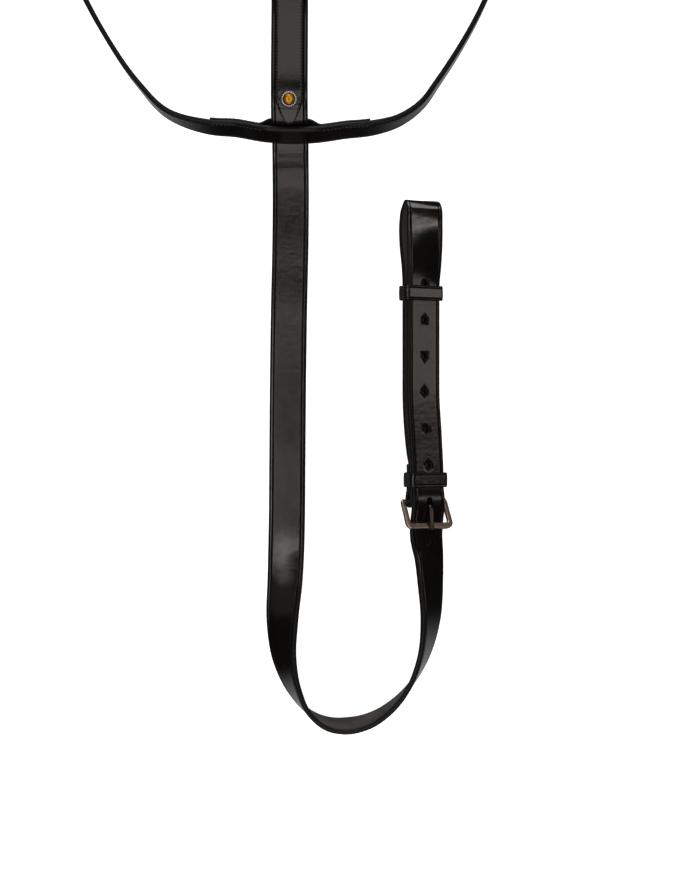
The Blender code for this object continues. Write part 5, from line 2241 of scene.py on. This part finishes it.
@dataclass
class Studio:
    """White lit table, soft boxes overhead and at the sides, and the camera straight above.

    Steep faces of the leather mirror the table, whose light comes back weaker than the white that the
    camera sees, so it's given by the lower half of the world.
    """

    camera_at: tuple[float, float, float] = (0.046479, -0.229058, 1.300187)
    lens: float = 76.94
    sensor: float = 36.0
    floor_size: float = 8.0
    world_strength: float = 0.015
    table_return: float = 0.4
    ceiling: float = 1.9
    ceiling_degrees: float = 120.0
    warmth: tuple[float, float, float] = (1.0, 0.955, 0.925)
    metal_glow: float = 0.45
    metal_glow_degrees: float = 170.0
    metal_words: tuple[str, ...] = ("plated", "nickel", "steel")
    horizon: Point = (-0.8, -0.42)
    floor_at: float = -0.0004
    boxes: tuple[SoftBox, ...] = (
        SoftBox("strip_near", (-0.28, -0.49, 1.6), (1.05, 0.16), 1.9),
        SoftBox("strip_leg", (-0.05, -0.265, 1.6), (0.7, 0.03), 0.31),
        SoftBox("strip_middle", (-0.05, -0.045, 1.6), (0.7, 0.1), 0.48),
        SoftBox("strip_chest", (-0.05, 0.26, 1.6), (0.7, 0.05), 0.6),
        SoftBox("over_bend", (-0.42, -0.2, 1.6), (0.4, 0.22), 1.0),
        SoftBox("beside_bend", (-0.85, -0.1, 1.6), (0.45, 0.3), 0.6),
        SoftBox("over_loop", (0.7, 0.25, 1.6), (0.22, 0.26), 0.95),
        SoftBox("over_chest", (0.0, 0.85, 1.4), (1.2, 0.6), 2.6),
        SoftBox("low_front", (-0.05, -1.25, 1.15), (1.3, 1.4), 8.5),
        SoftBox("far_end", (0.0, 2.0, 0.62), (2.4, 0.9), 26.0),
        SoftBox("left_side", (-1.5, 0.0, 1.3), (0.8, 0.8), 0.4),
        SoftBox("right_side", (1.62, -0.06, 0.8), (0.66, 0.36), 1.1),
    )

    @staticmethod
    def shine(name: str, power: float, degrees: float, colour: Sequence[float]) -> bpy.types.Object:
        """Adds a wide, even light from all of the sky.

        Args:
            name: Name of the light.
            power: Its strength.
            degrees: How wide a part of the sky it fills.
            colour: Its colour.

        Returns:
            The light's object.
        """
        light = bpy.data.lights.new(name, "SUN")
        light.energy, light.angle, light.color = power, math.radians(degrees), colour
        return new_object(name, light)

    def light_metal(self) -> None:
        """Adds a soft light that only the metal pieces receive, as a tent over the hardware would give."""
        receivers = bpy.data.collections.new("metal")
        for piece in bpy.context.scene.objects:
            if any(word in slot.name for slot in piece.material_slots for word in self.metal_words):
                receivers.objects.link(piece)
        tent = self.shine("tent", self.metal_glow, self.metal_glow_degrees, self.warmth)
        tent.light_linking.receiver_collection = receivers

    def light_world(self) -> None:
        """Sets the world: dim above, and below as bright as what the table sends back."""
        world = bpy.data.worlds.new("studio")
        world.use_nodes = True
        background = world.node_tree.nodes["Background"]
        background.inputs["Color"].default_value = (1.0, 1.0, 1.0, 1.0)
        direction = put(world, "TexCoord").outputs["Object"]
        upward = put(world, "SeparateXYZ", links={0: direction}).outputs["Z"]
        low, high = self.horizon
        levels = {"interpolation_type": "SMOOTHSTEP", 1: low, 2: high}
        level = put(world, "MapRange", {**levels, 3: self.table_return, 4: self.world_strength}, {0: upward})
        world.node_tree.links.new(level.outputs[0], background.inputs["Strength"])
        bpy.context.scene.world = world

    def build(self) -> None:
        """Sets up the table, the lights and the camera."""
        scene = bpy.context.scene
        scene.view_settings.view_transform = "Standard"
        bm = bmesh.new()
        bmesh.ops.create_grid(bm, x_segments=2, y_segments=2, size=self.floor_size / 2)
        bmesh.ops.translate(bm, verts=bm.verts, vec=(0, 0, self.floor_at))
        mesh = bpy.data.meshes.new("table")
        bm.to_mesh(mesh)
        bm.free()
        mesh.materials.append(LitTable().make())
        table = new_object("table", mesh)
        table.visible_glossy = False

        ceiling = self.shine("ceiling", self.ceiling, self.ceiling_degrees, (1.0, 1.0, 1.0))
        ceiling.visible_glossy = False
        for box in self.boxes:
            box.hang(self.warmth)
        self.light_metal()
        self.light_world()

        camera = bpy.data.cameras.new("camera")
        camera.lens, camera.sensor_width = self.lens, self.sensor
        scene.camera = new_object("camera", camera)
        scene.camera.location = self.camera_at


def main() -> None:
    """Builds every sub-assembly in order and the studio round it."""
    logging.basicConfig(level=logging.INFO, format="%(message)s", force=True)
    roll = math.radians(28.0)
    girth = Buckle(
        Bench((52.4, -46.4, 13.8), (0, -1, 0), (math.sin(roll), 0, math.cos(roll))),
        width=25.4, thick=3.8, ply=2.2, bar=1.7, rail=4.4, side_rail=3.6, plate=2.8, reach=18.7,
        pitch_degrees=27.0, tongue_width=3.4, tongue_thick=2.4, turned_length=26.0,
    )
    collar = Buckle(
        Bench((-205.0, 395.0, 12.6), (0, -1, 0), (-1, 0, 0)),
        width=16.0, thick=3.5, ply=1.8, bar=1.5, rail=3.4, side_rail=3.0, plate=2.2, reach=14.2,
        pitch_degrees=24.0, tongue_width=2.6, tongue_thick=1.8, turned_length=22.0,
    )
    finishes = Finishes()
    neck = NeckStrap(collar)
    body = BodyStrap(girth, neck)
    badge = Badge(body)
    body.dress(finishes, badge.hole())
    ChestTab(body).dress(finishes, badge.hole())
    badge.dress(finishes)
    Branches(body).dress(finishes)
    neck.dress(finishes)
    BuckleSet(
        "girth", girth, runner_at=-144.0, wall=1.6, length=10.3, shift=body.shift, back_shift=body.back_shift
    ).dress(finishes)
    BuckleSet("neck", collar, runner_at=-55.0, wall=1.5, length=8.0).dress(finishes)
    Studio().build()


if __name__ == "__main__":
    main()
